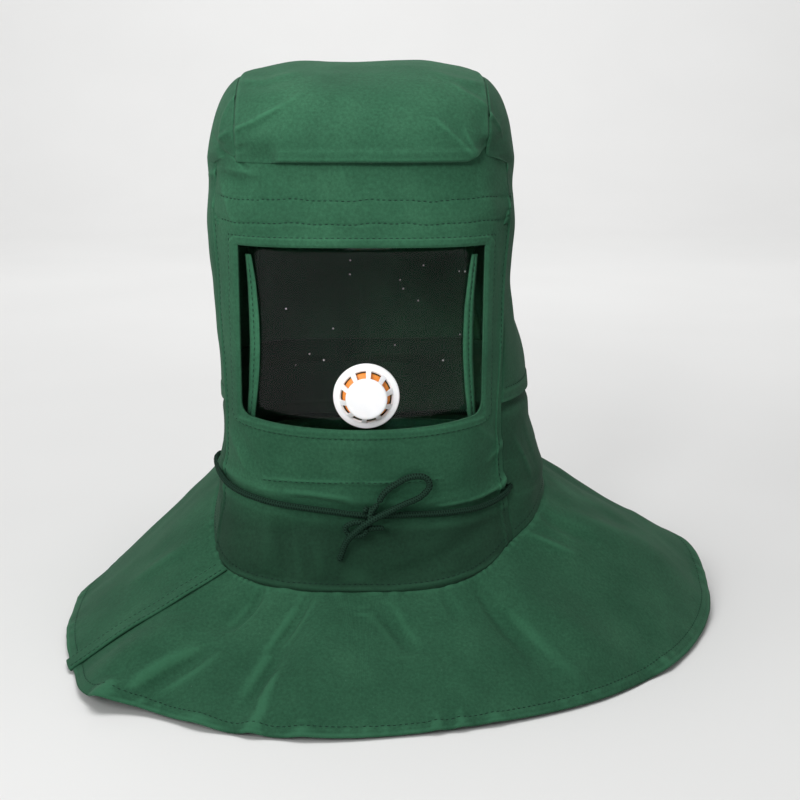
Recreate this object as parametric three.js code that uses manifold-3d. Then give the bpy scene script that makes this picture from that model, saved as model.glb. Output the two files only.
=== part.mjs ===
// Sandblasting hood of green canvas, in the form it has when it is worn.
// Millimetres, +Z up, the window faces -Y and +X is on the viewer's right.
// The origin is the head seat: the underside of the crown, over the middle of the neck.
import * as THREE from "three";
import { mergeVertices } from "three/addons/utils/BufferGeometryUtils.js";
import Module from "manifold-3d";

const wasm = await Module();
wasm.setup();

// Overall form
const HOOD_HEIGHT = 380; // crown's underside to the hem
const HALF_WIDTH = 98; // head part, at the brow
const FRONT_REACH = 119; // neck's axis to the window panel
const BACK_REACH = 100; // neck's axis to the back of the head part
const CAPE_REACH = 215; // neck's axis to the hem, before the wave of the hem
const CLOTH = 2;
const SEAM_GAP = 0.5; // between neighbouring panels
const SKIN_GAP = 0.35; // between pieces that lie on each other

// Crown
const LIP_LEVEL = 0.845; // levels are shares of the hood's height, from the hem up
const LIP_OVERHANG = 6;
const LIP_BLEND = 0.06; // share of the height over which the side panels come out to the lip
const LIP_EDGE_BACK = 4; // side panels' edge stands back from the window panel's there
const LIP_COVER = 5; // window panel's top edge reaches this far up behind the lip
const GUSSET_HALF_WIDTH = 77; // the crown panel's side seams
const GUSSET_EDGE_BLEND = 6; // height over which the side panels turn round the lip's corner
const GUSSET_EVEN_OUT = 25; // height over which the rest of a side panel follows that turn
const CROWN_TOP_SHARE = 0.34; // of the crown panel's length, from the lip to the top
const CROWN_WALL_SHARE = 0.62; // of its length, from the lip to where the back's dome meets the wall
const CREASE_LEAN = { y: 0.6, z: 0.8 }; // the way a crease rises

// Panels round the wall
const SECTION_POWER = 3.4; // how square a level section is
const FRONT_EDGE_TURN = THREE.MathUtils.degToRad(62); // window panel's side edges
const NAPE_LEVEL = 0.44; // lower edge of the side and back panels
const NAPE_TUCK = 10; // neck panel's edge under them
const NAPE_ROOM = 1.8; // between the two

// Window and visor
const WINDOW_WIDTH = 151;
const WINDOW_HEIGHT = 107;
const WINDOW_LEVEL = 0.572; // its middle
const WINDOW_CORNER = 9;
const WINDOW_SAG = 5; // the lower edge bows down by this much
const VISOR_THICKNESS = 1;
const VISOR_ROOM = SKIN_GAP * 3.6; // behind the window panel, where the two are sewn together
const VISOR_SETBACK = 9; // behind the panel, in the opening
const VISOR_MARGIN = 13; // sewn above and below the opening
const VISOR_SIDE_ROOM = 5; // between the opening's side and the visor's bound edge
const STRIP_WIDTH = 6.5;
const STRIP_THICKNESS = 1.2;
const STRIP_BOW = 4;
const STRIP_ROOM = SKIN_GAP * 3; // between a strip and the visor

// Breather valve
const VALVE_RADIUS = 20.5;
const VALVE_FLANGE = 1.6;
const VALVE_CONE_FOOT = 16.8;
const VALVE_CAP_RADIUS = 12.6;
const VALVE_HEIGHT = 10;
const VALVE_WALL = 1.4;
const VALVE_SLOTS = 10;
const VALVE_SLOT_SHARE = 0.68; // of the pitch round the ring
const VALVE_OFFSET = 3; // sideways from the window's middle
const VALVE_ROOM = SKIN_GAP * 1.8; // between the flange and the visor
const VALVE_SLOT_TURN = 0.15; // share of the pitch by which the slots are turned
const DIAPHRAGM_RADIUS = 14.8;
const DIAPHRAGM_THICKNESS = 1.5;

// Drawcord
const CORD_DIAMETER = 4;
const KNOT_RADIUS = 6.5;
const KNOT_WIDTH = 9;
const KNOT_ROOM = SKIN_GAP * 2.2; // between the knot and the cord inside it

// The wall's sections: level from the hem; side, front and back reach as shares; slack thrown out at the
// right of the nape, as a share of the half width
const WALL = [
  { level: 0.14, side: 1.06, front: 1.01, back: 1.1, slack: 0.3 },
  { level: 0.21, side: 1.03, front: 0.965, back: 1.05, slack: 0.31 },
  { level: 0.274, side: 0.98, front: 0.915, back: 1.0, slack: 0.31 },
  { level: 0.33, side: 0.96, front: 0.955, back: 0.98, slack: 0.285 },
  { level: 0.4, side: 0.945, front: 0.985, back: 0.965, slack: 0.24 },
  { level: 0.48, side: 0.955, front: 0.99, back: 0.96, slack: 0.19 },
  { level: 0.57, side: 0.975, front: 0.995, back: 0.97, slack: 0.07 },
  { level: 0.65, side: 0.985, front: 1.0, back: 0.99, slack: 0 },
  { level: 0.75, side: 1.01, front: 1.0, back: 1.0, slack: 0 },
  { level: 0.83, side: 0.98, front: 0.975, back: 1.01, slack: 0 },
  { level: 0.87, side: 0.96, front: 0.965, back: 1.01, slack: 0 },
];
const SLACK_TURN = THREE.MathUtils.degToRad(115);
const SLACK_SPREAD = THREE.MathUtils.degToRad(46);

// How square the crown's dome is, seen from the front and from the side
const DOME_SIDE_POWER = 3.8;
const DOME_SIDE_TAPER = 0.09; // the sides lean in by this share
const DOME_FRONT_POWER = 2.5;
const DOME_BACK_POWER = 2.6;

// Creases that spread from the crown's corners: ends as shares of the half width and of the dome's height
const CROWN_CREASES = [
  { x0: -0.9, z0: 0.1, x1: -0.34, z1: 0.62, rise: 0.03, spread: 0.06 },
  { x0: -0.72, z0: 0.6, x1: -0.3, z1: 0.98, rise: 0.02, spread: 0.07 },
  { x0: 0.86, z0: 0.66, x1: 0.46, z1: 0.86, rise: 0.02, spread: 0.05 },
  { x0: 0.9, z0: 0.34, x1: 0.5, z1: 0.66, rise: 0.025, spread: 0.05 },
  { x0: 0.8, z0: 0.06, x1: 0.36, z1: 0.42, rise: 0.02, spread: 0.06 },
];

// The cape round the neck: turn in degrees from the front, +90 on the right; seam level; hem reach and hem
// lift as shares; bell is how much of the fall comes near the hem
const CAPE = [
  { turn: -150, seam: 0.288, reach: 0.96, lift: 0, bell: 0.1 },
  { turn: -120, seam: 0.282, reach: 0.95, lift: 0.004, bell: 0.05 },
  { turn: -93, seam: 0.256, reach: 0.945, lift: 0, bell: 0 },
  { turn: -76, seam: 0.218, reach: 0.95, lift: 0.004, bell: 0.02 },
  { turn: -56, seam: 0.176, reach: 1.02, lift: 0.002, bell: 0.08 },
  { turn: -45, seam: 0.164, reach: 1.085, lift: 0.004, bell: 0.12 },
  { turn: -35, seam: 0.158, reach: 1.035, lift: 0.004, bell: 0.12 },
  { turn: -20, seam: 0.151, reach: 1.03, lift: 0, bell: 0.12 },
  { turn: -6, seam: 0.147, reach: 1.012, lift: 0, bell: 0.14 },
  { turn: 8, seam: 0.148, reach: 0.985, lift: 0, bell: 0.14 },
  { turn: 24, seam: 0.157, reach: 0.985, lift: 0.002, bell: 0.12 },
  { turn: 45, seam: 0.178, reach: 1.02, lift: 0, bell: 0.14 },
  { turn: 68, seam: 0.21, reach: 1.075, lift: 0, bell: 0.14 },
  { turn: 90, seam: 0.25, reach: 1.15, lift: 0.016, bell: 0.08 },
  { turn: 112, seam: 0.264, reach: 1.2, lift: 0.06, bell: -0.04 },
  { turn: 145, seam: 0.276, reach: 1.06, lift: 0.004, bell: -0.04 },
  { turn: 180, seam: 0.288, reach: 1.0, lift: 0, bell: 0.1 },
];

// Folds of the cape: turns in degrees at their two ends, the stretch from seam 0 to hem 1, height as a
// share of the cape's reach (minus is a valley) and spread in degrees
const CAPE_FOLDS = [
  { start: -10, end: -20, from: 0, to: 0.8, rise: -0.026, spread: 5 },
  { start: -3, end: -8, from: 0, to: 0.9, rise: 0.02, spread: 7 },
  { start: -25, end: -33, from: 0, to: 0.45, rise: -0.018, spread: 4 },
  { start: -3, end: 9, from: 0, to: 0.5, rise: -0.012, spread: 4 },
  { start: 30, end: 38, from: 0, to: 0.85, rise: -0.024, spread: 6 },
  { start: 40, end: 52, from: 0.1, to: 1, rise: 0.016, spread: 8 },
  { start: -40, end: -46, from: 0.35, to: 1.1, rise: 0.024, spread: 7 },
  { start: 88, end: 92, from: 0, to: 0.9, rise: 0.02, spread: 7 },
  { start: 102, end: 108, from: 0, to: 0.7, rise: -0.02, spread: 6 },
  { start: -100, end: -106, from: 0, to: 0.9, rise: -0.014, spread: 9 },
  { start: 138, end: 142, from: 0.1, to: 1.1, rise: -0.02, spread: 11 },
  { start: -150, end: -146, from: 0.1, to: 1.1, rise: 0.018, spread: 11 },
  { start: 176, end: 180, from: 0.1, to: 1, rise: -0.016, spread: 12 },
];

const FOLD_LEAN = 0.5; // a fold moves outwards by this share of its rise

// The closing strip of the cape, left of the front
const PLACKET_START_TURN = THREE.MathUtils.degToRad(-49);
const PLACKET_END_TURN = THREE.MathUtils.degToRad(-59);
const PLACKET_WIDTH = 17;
const PLACKET_PROUD = 3; // past the hem

// Drawcord's run: out of the left slit, across the front, in at the right slit, round the back inside
const CORD_ROUTE = [
  [-93.8, -36.6, -256.5],
  [-96.1, -44.6, -257.5],
  [-94.8, -57.6, -259],
  [-91, -73.8, -261],
  [-85, -86.6, -264],
  [-76.4, -96.2, -266.5],
  [-65.8, -103.7, -268.5],
  [-50.4, -109.3, -271],
  [-22, -113.2, -274],
  [5, -116.3, -276.3],
  [30, -112.4, -276.6],
  [50, -108.4, -276.9],
  [65.5, -103, -276.7],
  [76.2, -95.8, -276.5],
  [85.6, -87, -275],
  [92.8, -78, -273],
  [96.8, -68, -271],
  [100, -58, -269],
  [106.5, -46, -268],
  [113, -22, -267],
  [116, 5, -266],
  [116, 38, -265],
  [110, 68, -264],
  [100, 88, -263],
  [85, 100, -262],
  [62, 102, -262],
  [33, 96, -262],
  [0, 94, -262],
  [-33, 93, -262],
  [-60, 86.7, -263],
  [-77, 73.5, -264],
  [-86.5, 52, -266],
  [-89.5, 20, -264],
  [-90, -5, -260],
  [-89.5, -20, -257.5],
];

// Points of the route where the cord passes the slits and the knot
const [, LEFT_SLIT] = CORD_ROUTE;
const KNOT_AT = CORD_ROUTE.find(([x]) => x > 0);
const RIGHT_SLIT = CORD_ROUTE.find(([x]) => x > HALF_WIDTH * 0.98);

// Bow: from the knot round the big loop, through the knot and down to the free end
const BOW_ROUTE = [
  [10.5, -119, -267.2],
  [14, -118.5, -261],
  [21, -118, -255.5],
  [30, -117.5, -251],
  [39, -117.5, -251],
  [42, -117.5, -257],
  [36, -117.5, -264],
  [27, -118, -268],
  [17, -121.5, -272],
  [6, -126, -276.5],
  [-3, -124, -284],
  [-9, -121, -291.5],
  [-12, -120, -299],
  [-14, -119.5, -305],
];

const GREEN = 0x2f6a4b;
const canvas = (name, roughness = 0.92) =>
  new THREE.MeshStandardMaterial({ name, color: GREEN, roughness, metalness: 0 });

const heightAt = (level) => (level - 1) * HOOD_HEIGHT;
const levelOf = (z) => z / HOOD_HEIGHT + 1;
const smoothstep = THREE.MathUtils.smoothstep;
const radians = THREE.MathUtils.degToRad;
const mix = THREE.MathUtils.lerp;

// Reads one column of a table at a place between its rows, along a smooth curve.
function readTable(rows, along, place, column, period = 0) {
  const count = rows.length;
  const first = rows[0][along];
  const at = period ? first + THREE.MathUtils.euclideanModulo(place - first, period) : place;
  let next = rows.findIndex((row) => row[along] > at);
  if (!period) {
    if (next === 0) return rows[0][column];
    if (next < 0) return rows[count - 1][column];
  }
  const pick = (index) => {
    if (!period) return rows[THREE.MathUtils.clamp(index, 0, count - 1)];
    const lap = Math.floor(index / count);
    const row = rows[index - lap * count];
    return { [along]: row[along] + lap * period, [column]: row[column] };
  };
  if (next < 0) next = count;
  const [a, b, c, d] = [next - 2, next - 1, next, next + 1].map(pick);
  const share = (at - b[along]) / (c[along] - b[along]);
  const slopeIn = ((c[column] - a[column]) / (c[along] - a[along] || 1)) * (c[along] - b[along]);
  const slopeOut = ((d[column] - b[column]) / (d[along] - b[along] || 1)) * (c[along] - b[along]);
  const s2 = share * share;
  const s3 = s2 * share;
  return (
    b[column] * (2 * s3 - 3 * s2 + 1) +
    slopeIn * (s3 - 2 * s2 + share) +
    c[column] * (3 * s2 - 2 * s3) +
    slopeOut * (s3 - s2)
  );
}

// Reads a list of places at a share of its length.
function along(places, share) {
  const at = share * (places.length - 1);
  const before = Math.min(Math.floor(at), places.length - 2);
  return mix(places[before], places[before + 1], at - before);
}

// Evenly spaced places between two ends, without the last.
const evenly = (from, to, count) => Array.from({ length: count }, (_, index) => mix(from, to, index / count));

// Distance of a point from a segment in a plane.
function distanceToSegment(px, py, x0, y0, x1, y1) {
  const dx = x1 - x0;
  const dy = y1 - y0;
  const share = THREE.MathUtils.clamp(((px - x0) * dx + (py - y0) * dy) / (dx * dx + dy * dy), 0, 1);
  return Math.hypot(px - x0 - share * dx, py - y0 - share * dy);
}

const DOME_HEIGHT = HOOD_HEIGHT * (1 - LIP_LEVEL) + CLOTH;
const domeShare = (z) => THREE.MathUtils.clamp((z - heightAt(LIP_LEVEL)) / DOME_HEIGHT, 0, 1);
const domeScale = (z, power) => (1 - domeShare(z) ** power) ** (1 / power);
const sideScale = (z) => domeScale(z, DOME_SIDE_POWER) * (1 - DOME_SIDE_TAPER * domeShare(z));

// Side, front and back reach of the outer surface at a height. lipped is the surface that the crown and
// the side panels follow, which stands proud of the window panel at the brow.
function reachAt(z, lipped) {
  const level = levelOf(z);
  const wall = (column) => readTable(WALL, "level", level, column);
  const lip = lipped ? LIP_OVERHANG * smoothstep(level, LIP_LEVEL - LIP_BLEND, LIP_LEVEL) : 0;
  const flat = (column) => readTable(WALL, "level", Math.min(level, LIP_LEVEL), column);
  return {
    side: (HALF_WIDTH * flat("side") + lip / 2) * sideScale(z),
    front: (FRONT_REACH * flat("front") + lip) * domeScale(z, DOME_FRONT_POWER),
    back: BACK_REACH * flat("back") * domeScale(z, DOME_BACK_POWER),
    slack: HALF_WIDTH * wall("slack"),
  };
}

const signedPower = (value, power) => Math.sign(value) * Math.abs(value) ** power;

// A point of the wall's outer surface. turn runs round the section: 0 front, a quarter turn at +X.
function wallPoint(turn, z, { lipped = true, inset = 0 } = {}) {
  const reach = reachAt(z, lipped);
  const power = 2 / SECTION_POWER;
  const away = Math.cos(turn) > 0 ? reach.front : reach.back;
  const slack = reach.slack * Math.exp(-(((turn - SLACK_TURN) / SLACK_SPREAD) ** 4));
  const x = signedPower(Math.sin(turn), power) * reach.side;
  const y = -signedPower(Math.cos(turn), power) * away;
  const grow = 1 + (slack - inset) / Math.hypot(x, y);
  return new THREE.Vector3(x * grow, y * grow, z);
}

// The turn at which a section reaches a given distance to the side.
function turnAtSide(x, z) {
  const share = Math.min(1, x / reachAt(z, true).side);
  return Math.asin(share ** (SECTION_POWER / 2));
}

// The height at which the dome is as narrow as x to each side, found by halving.
function domeTopAt(x) {
  let low = heightAt(LIP_LEVEL);
  let high = low + DOME_HEIGHT;
  for (let step = 0; step < 30; step += 1) {
    const middle = (low + high) / 2;
    if (reachAt(middle, true).side > Math.abs(x)) low = middle;
    else high = middle;
  }
  return low;
}

// Creases lift the crown's surface.
function creaseRise(x, z) {
  const scale = { x: HALF_WIDTH, z: DOME_HEIGHT };
  const share = { x: x / scale.x, z: domeShare(z) };
  let rise = 0;
  for (const crease of CROWN_CREASES) {
    const away = distanceToSegment(share.x, share.z, crease.x0, crease.z0, crease.x1, crease.z1);
    rise += crease.rise * Math.exp(-((away / crease.spread) ** 2));
  }
  return rise * scale.z;
}

// Makes a closed geometry from points and triangles, with its faces pointing out.
function closedGeometry(points, triangles) {
  const [a, b, c] = [new THREE.Vector3(), new THREE.Vector3(), new THREE.Vector3()];
  let volume = 0;
  for (const [i, j, k] of triangles) {
    a.copy(points[i]);
    b.copy(points[j]);
    c.copy(points[k]);
    volume += a.dot(b.cross(c));
  }
  const facing = volume > 0 ? triangles : triangles.map(([i, j, k]) => [i, k, j]);
  const geometry = new THREE.BufferGeometry().setFromPoints(points);
  geometry.setIndex(facing.flat());
  geometry.computeVertexNormals();
  return geometry;
}

// A sheet with a thickness: pointAt(u, v) gives its outer face for u and v from 0 to 1, and the inner face
// lies a thickness behind it. closed joins the sheet's last column to its first.
function sheetSolid(pointAt, { columns, rows, thickness = CLOTH, closed = false }) {
  const points = [];
  const step = 1e-3;
  const lap = closed ? columns : columns + 1;
  for (let row = 0; row <= rows; row += 1) {
    for (let column = 0; column < lap; column += 1) {
      const u = column / columns;
      const v = row / rows;
      const ends = closed ? [u - step, u + step] : [Math.max(u - step, 0), Math.min(u + step, 1)];
      const along = pointAt(ends[1], v).sub(pointAt(ends[0], v));
      const across = pointAt(u, Math.min(v + step, 1)).sub(pointAt(u, Math.max(v - step, 0)));
      const outwards = along.cross(across).normalize();
      const outer = pointAt(u, v);
      points.push(outer, outer.clone().addScaledVector(outwards, -thickness));
    }
  }
  const vertex = (row, column, inner) => (row * lap + (column % lap)) * 2 + (inner ? 1 : 0);
  const triangles = [];
  const quad = (a, b, c, d) => triangles.push([a, b, c], [a, c, d]);
  const spans = closed ? lap : lap - 1;
  for (let row = 0; row < rows; row += 1) {
    for (let column = 0; column < spans; column += 1) {
      for (const inner of [false, true]) {
        const corners = [
          vertex(row, column, inner),
          vertex(row, column + 1, inner),
          vertex(row + 1, column + 1, inner),
          vertex(row + 1, column, inner),
        ];
        quad(...(inner ? corners.reverse() : corners));
      }
    }
  }
  for (let column = 0; column < spans; column += 1) {
    quad(
      vertex(0, column, true),
      vertex(0, column + 1, true),
      vertex(0, column + 1, false),
      vertex(0, column, false),
    );
    quad(
      vertex(rows, column, false),
      vertex(rows, column + 1, false),
      vertex(rows, column + 1, true),
      vertex(rows, column, true),
    );
  }
  if (!closed) {
    for (let row = 0; row < rows; row += 1) {
      quad(vertex(row, 0, false), vertex(row + 1, 0, false), vertex(row + 1, 0, true), vertex(row, 0, true));
      const last = lap - 1;
      quad(
        vertex(row, last, true),
        vertex(row + 1, last, true),
        vertex(row + 1, last, false),
        vertex(row, last, false),
      );
    }
  }
  return closedGeometry(points, triangles);
}

// Solid booleans
function toSolid(geometry) {
  const bare = geometry.clone();
  bare.deleteAttribute("normal");
  bare.deleteAttribute("uv");
  const merged = mergeVertices(bare, 1e-4);
  return new wasm.Manifold(
    new wasm.Mesh({
      numProp: 3,
      vertProperties: new Float32Array(merged.attributes.position.array),
      triVerts: new Uint32Array(merged.index.array),
    }),
  );
}

function toGeometry(solid) {
  const mesh = solid.getMesh();
  const geometry = new THREE.BufferGeometry();
  geometry.setAttribute("position", new THREE.BufferAttribute(new Float32Array(mesh.vertProperties), 3));
  geometry.setIndex(new THREE.BufferAttribute(new Uint32Array(mesh.triVerts), 1));
  geometry.computeVertexNormals();
  return geometry;
}

function cut(geometry, ...tools) {
  let solid = toSolid(geometry);
  for (const tool of tools) solid = solid.subtract(toSolid(tool));
  return toGeometry(solid);
}

// Panels of the head part

// Lower edge of the panels at the cape's seam, by the turn round the neck.
function seamHeight(turn) {
  return heightAt(readTable(CAPE, "turn", THREE.MathUtils.radToDeg(turn), "seam", 360));
}

function frontPanel() {
  const lip = heightAt(LIP_LEVEL);
  const corner = turnAtSide(GUSSET_HALF_WIDTH - LIP_EDGE_BACK, lip);
  const topAt = (turn) => {
    const past = (Math.abs(turn) - corner) / (FRONT_EDGE_TURN - corner);
    if (past <= 0) return lip + LIP_COVER;
    return lip + GUSSET_EDGE_BLEND * (0.5 - past) - 2 * SEAM_GAP;
  };
  const sheet = sheetSolid(
    (u, v) => {
      const turn = mix(-1, 1, u) * (FRONT_EDGE_TURN - SEAM_GAP / 2 / HALF_WIDTH);
      return wallPoint(turn, mix(seamHeight(turn), topAt(turn), v), { lipped: false });
    },
    { columns: 20, rows: 18 },
  );
  return cut(sheet, windowTool(), cordSlit(RIGHT_SLIT));
}

// A prism of the window's outline: rounded corners, and a lower edge that bows down.
function windowTool() {
  const half = { x: WINDOW_WIDTH / 2, z: WINDOW_HEIGHT / 2 };
  const r = WINDOW_CORNER;
  const outline = new THREE.Shape();
  outline.moveTo(-half.x, half.z - 2);
  outline.lineTo(-half.x, -half.z + r);
  outline.quadraticCurveTo(-half.x, -half.z, -half.x + r, -half.z);
  outline.quadraticCurveTo(0, -half.z - 2 * WINDOW_SAG, half.x - r, -half.z);
  outline.quadraticCurveTo(half.x, -half.z, half.x, -half.z + r);
  outline.lineTo(half.x, half.z - 2);
  outline.lineTo(half.x - 2, half.z);
  outline.lineTo(-half.x + 2, half.z);
  outline.closePath();
  const depth = FRONT_REACH;
  const prism = new THREE.ExtrudeGeometry(outline, { depth, bevelEnabled: false, curveSegments: 6 });
  prism.rotateX(Math.PI / 2);
  prism.translate(0, -FRONT_REACH / 3, heightAt(WINDOW_LEVEL));
  return prism;
}

// A slit for the drawcord at a point of its route.
function cordSlit([x, y, z]) {
  const slit = new THREE.BoxGeometry(CORD_DIAMETER * 3, CORD_DIAMETER * 5, CORD_DIAMETER * 1.6);
  slit.translate(x, y, z);
  return slit;
}

function sidePanel(side) {
  const bottom = heightAt(NAPE_LEVEL);
  const lip = heightAt(LIP_LEVEL);
  const bend = GUSSET_EDGE_BLEND / 2;
  const top = domeTopAt(GUSSET_HALF_WIDTH + SEAM_GAP * 1.2);
  const heights = [...evenly(bottom, lip - bend, 10), lip - bend, ...evenly(lip + bend, top, 7), top];
  return sheetSolid(
    (u, v) => {
      const z = along(heights, v);
      const seam = turnAtSide(GUSSET_HALF_WIDTH + SEAM_GAP / 2, z);
      const above = THREE.MathUtils.clamp((z - lip + bend) / GUSSET_EDGE_BLEND, 0, 1);
      const clear = LIP_EDGE_BACK * smoothstep(levelOf(z), LIP_LEVEL - LIP_BLEND, LIP_LEVEL - LIP_BLEND / 2);
      const start = mix(FRONT_EDGE_TURN + (SEAM_GAP / 2 + clear) / HALF_WIDTH, seam, above);
      const even = mix(FRONT_EDGE_TURN, seam, smoothstep(z, lip - GUSSET_EVEN_OUT, lip + GUSSET_EVEN_OUT));
      const run = side > 0 ? u : 1 - u;
      const turn = mix(even, Math.PI - seam, run) + (start - even) * (1 - run) ** 5;
      return wallPoint(side * turn, z);
    },
    { columns: 10, rows: heights.length - 1 },
  );
}

// The crown panel: a gusset from the lip over the top and down the back to the nape.
function crownPanel() {
  const lip = heightAt(LIP_LEVEL);
  const over = CROWN_TOP_SHARE;
  const down = CROWN_WALL_SHARE;
  return sheetSolid(
    (u, v) => {
      const x = mix(-1, 1, u) * (GUSSET_HALF_WIDTH - SEAM_GAP / 2);
      const peak = domeTopAt(x);
      let z;
      let back = false;
      if (v < over) z = mix(lip, peak, Math.sin((v / over) * (Math.PI / 2)));
      else {
        back = true;
        if (v < down) z = mix(lip, peak, Math.cos(((v - over) / (down - over)) * (Math.PI / 2)));
        else z = mix(lip, heightAt(NAPE_LEVEL), (v - down) / (1 - down));
      }
      const reach = reachAt(z, true);
      const share = Math.min(1, Math.abs(x) / reach.side);
      const y = (1 - share ** SECTION_POWER) ** (1 / SECTION_POWER) * (back ? reach.back : -reach.front);
      if (back && z < lip) return wallPoint(Math.sign(x || 1) * (Math.PI - turnAtSide(Math.abs(x), z)), z);
      const rise = back ? 0 : creaseRise(x, z);
      return new THREE.Vector3(x, y - rise * CREASE_LEAN.y, z + rise * CREASE_LEAN.z);
    },
    { columns: 14, rows: 24 },
  );
}

// The neck panel: round the sides and back, from under the nape's edge down to the cape.
function neckPanel() {
  const nape = heightAt(NAPE_LEVEL);
  const start = FRONT_EDGE_TURN + SEAM_GAP / 2 / HALF_WIDTH;
  const sheet = sheetSolid(
    (u, v) => {
      const turn = mix(start, 2 * Math.PI - start, u);
      const z = mix(seamHeight(turn), nape + NAPE_TUCK, v);
      const inset = (CLOTH + NAPE_ROOM) * smoothstep(z, nape - NAPE_TUCK, nape - 1);
      const wrapped = turn > Math.PI ? turn - 2 * Math.PI : turn;
      return wallPoint(wrapped, z, { inset });
    },
    { columns: 30, rows: 9 },
  );
  return cut(sheet, cordSlit(LEFT_SLIT), cordSlit(RIGHT_SLIT));
}

// Cape
const capeRow = (turn, column) => readTable(CAPE, "turn", THREE.MathUtils.radToDeg(turn), column, 360);

function angleBetween(a, b) {
  return Math.atan2(Math.sin(a - b), Math.cos(a - b));
}

// A point of the cape's outer surface: share is 0 at the neck seam and 1 at the hem.
function capePoint(turn, share) {
  const neck = wallPoint(turn, seamHeight(turn));
  neck.x *= 1 + SKIN_GAP / HALF_WIDTH;
  neck.y *= 1 + SKIN_GAP / HALF_WIDTH;
  const reach = CAPE_REACH * capeRow(turn, "reach");
  const hem = new THREE.Vector3(Math.sin(turn) * reach, -Math.cos(turn) * reach, heightAt(capeRow(turn, "lift")));
  hem.z += CLOTH;
  const bell = capeRow(turn, "bell");
  const fall = share * (1 - bell) + bell * share ** 4;
  const point = new THREE.Vector3(
    mix(neck.x, hem.x, share),
    mix(neck.y, hem.y, share),
    mix(neck.z - SEAM_GAP, hem.z, fall),
  );
  let rise = 0;
  for (const fold of CAPE_FOLDS) {
    const run = (share - fold.from) / (fold.to - fold.from);
    if (run < 0 || run > 1) continue;
    const middle = radians(mix(fold.start, fold.end, run));
    const away = angleBetween(turn, middle) / radians(fold.spread);
    rise += fold.rise * Math.exp(-away * away) * Math.sin(Math.PI * run) ** 0.8;
  }
  rise *= CAPE_REACH;
  point.x += Math.sin(turn) * rise * FOLD_LEAN;
  point.y -= Math.cos(turn) * rise * FOLD_LEAN;
  point.z += rise;
  return point;
}

// The way out of the cape's outer surface.
function capeNormal(turn, share) {
  const step = 1e-3;
  const round = capePoint(turn + step, share).sub(capePoint(turn - step, share));
  const down = capePoint(turn, share + step).sub(capePoint(turn, share - step));
  return down.cross(round).normalize();
}

function cape() {
  return sheetSolid((u, v) => capePoint(u * 2 * Math.PI, 1 - v), { columns: 72, rows: 7, closed: true });
}

// The strip that closes the cape lies over it from the seam to just past the hem.
function capePlacket() {
  return sheetSolid(
    (u, v) => {
      const share = mix(1 + PLACKET_PROUD / CAPE_REACH, 0.015, v);
      const middle = mix(PLACKET_END_TURN, PLACKET_START_TURN, v);
      const base = capePoint(middle, Math.min(share, 1));
      const reach = Math.hypot(base.x, base.y);
      const turn = middle + mix(-1, 1, u) * (PLACKET_WIDTH / 2 / reach);
      return capePoint(turn, share).addScaledVector(capeNormal(turn, share), CLOTH + SKIN_GAP * 2);
    },
    { columns: 3, rows: 12 },
  );
}

// Visor
const windowTop = heightAt(WINDOW_LEVEL) + WINDOW_HEIGHT / 2;
const windowBottom = heightAt(WINDOW_LEVEL) - WINDOW_HEIGHT / 2 - WINDOW_SAG;

function visorHalfWidth(z) {
  const run = (z - windowBottom) / (windowTop - windowBottom);
  return WINDOW_WIDTH / 2 - VISOR_SIDE_ROOM - STRIP_BOW * Math.sin(Math.PI * THREE.MathUtils.clamp(run, 0, 1));
}

// A point of the visor's outer face: its top and bottom margins lie against the window panel.
function visorPoint(x, z) {
  const reach = reachAt(z, false);
  const share = Math.abs(x) / reach.side;
  const panel = -reach.front * (1 - share ** SECTION_POWER) ** (1 / SECTION_POWER);
  const inTop = smoothstep(windowTop + VISOR_MARGIN / 2 - z, 0, VISOR_MARGIN);
  const inBottom = smoothstep(z - windowBottom + VISOR_MARGIN, 0, VISOR_MARGIN - 4);
  const back = CLOTH + VISOR_ROOM + VISOR_SETBACK * inTop * inBottom;
  return new THREE.Vector3(x, panel + back, z);
}

const visorFoot = windowBottom - VISOR_MARGIN;
const visorHead = windowTop + VISOR_MARGIN;
const visorHeights = [
  ...evenly(visorFoot, windowBottom, 4),
  ...evenly(windowBottom, windowTop - VISOR_MARGIN / 2, 6),
  ...evenly(windowTop - VISOR_MARGIN / 2, visorHead, 4),
  visorHead,
];

function visor() {
  return sheetSolid(
    (u, v) => {
      const z = along(visorHeights, v);
      return visorPoint(mix(-1, 1, u) * visorHalfWidth(z), z);
    },
    { columns: 8, rows: visorHeights.length - 1, thickness: VISOR_THICKNESS },
  );
}

// The cloth strip that binds one side of the visor lies on its outer face.
function visorStrip(side) {
  const heights = visorHeights.filter((z) => z >= windowBottom && z < windowTop);
  return sheetSolid(
    (u, v) => {
      const z = along(heights, v);
      const x = side * (visorHalfWidth(z) + mix(-0.5, 0.5, side > 0 ? u : 1 - u) * STRIP_WIDTH);
      const point = visorPoint(x, z);
      point.y -= STRIP_THICKNESS + STRIP_ROOM;
      return point;
    },
    { columns: 2, rows: heights.length - 1, thickness: STRIP_THICKNESS },
  );
}

// Breather valve, turned about its axis along -Y
const valveZ = windowBottom + VALVE_RADIUS - 1.5;

function placeValve(geometry) {
  geometry.rotateX(Math.PI);
  const face = visorPoint(0, valveZ);
  geometry.translate(VALVE_OFFSET, face.y - VALVE_ROOM, valveZ);
  return geometry;
}

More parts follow.
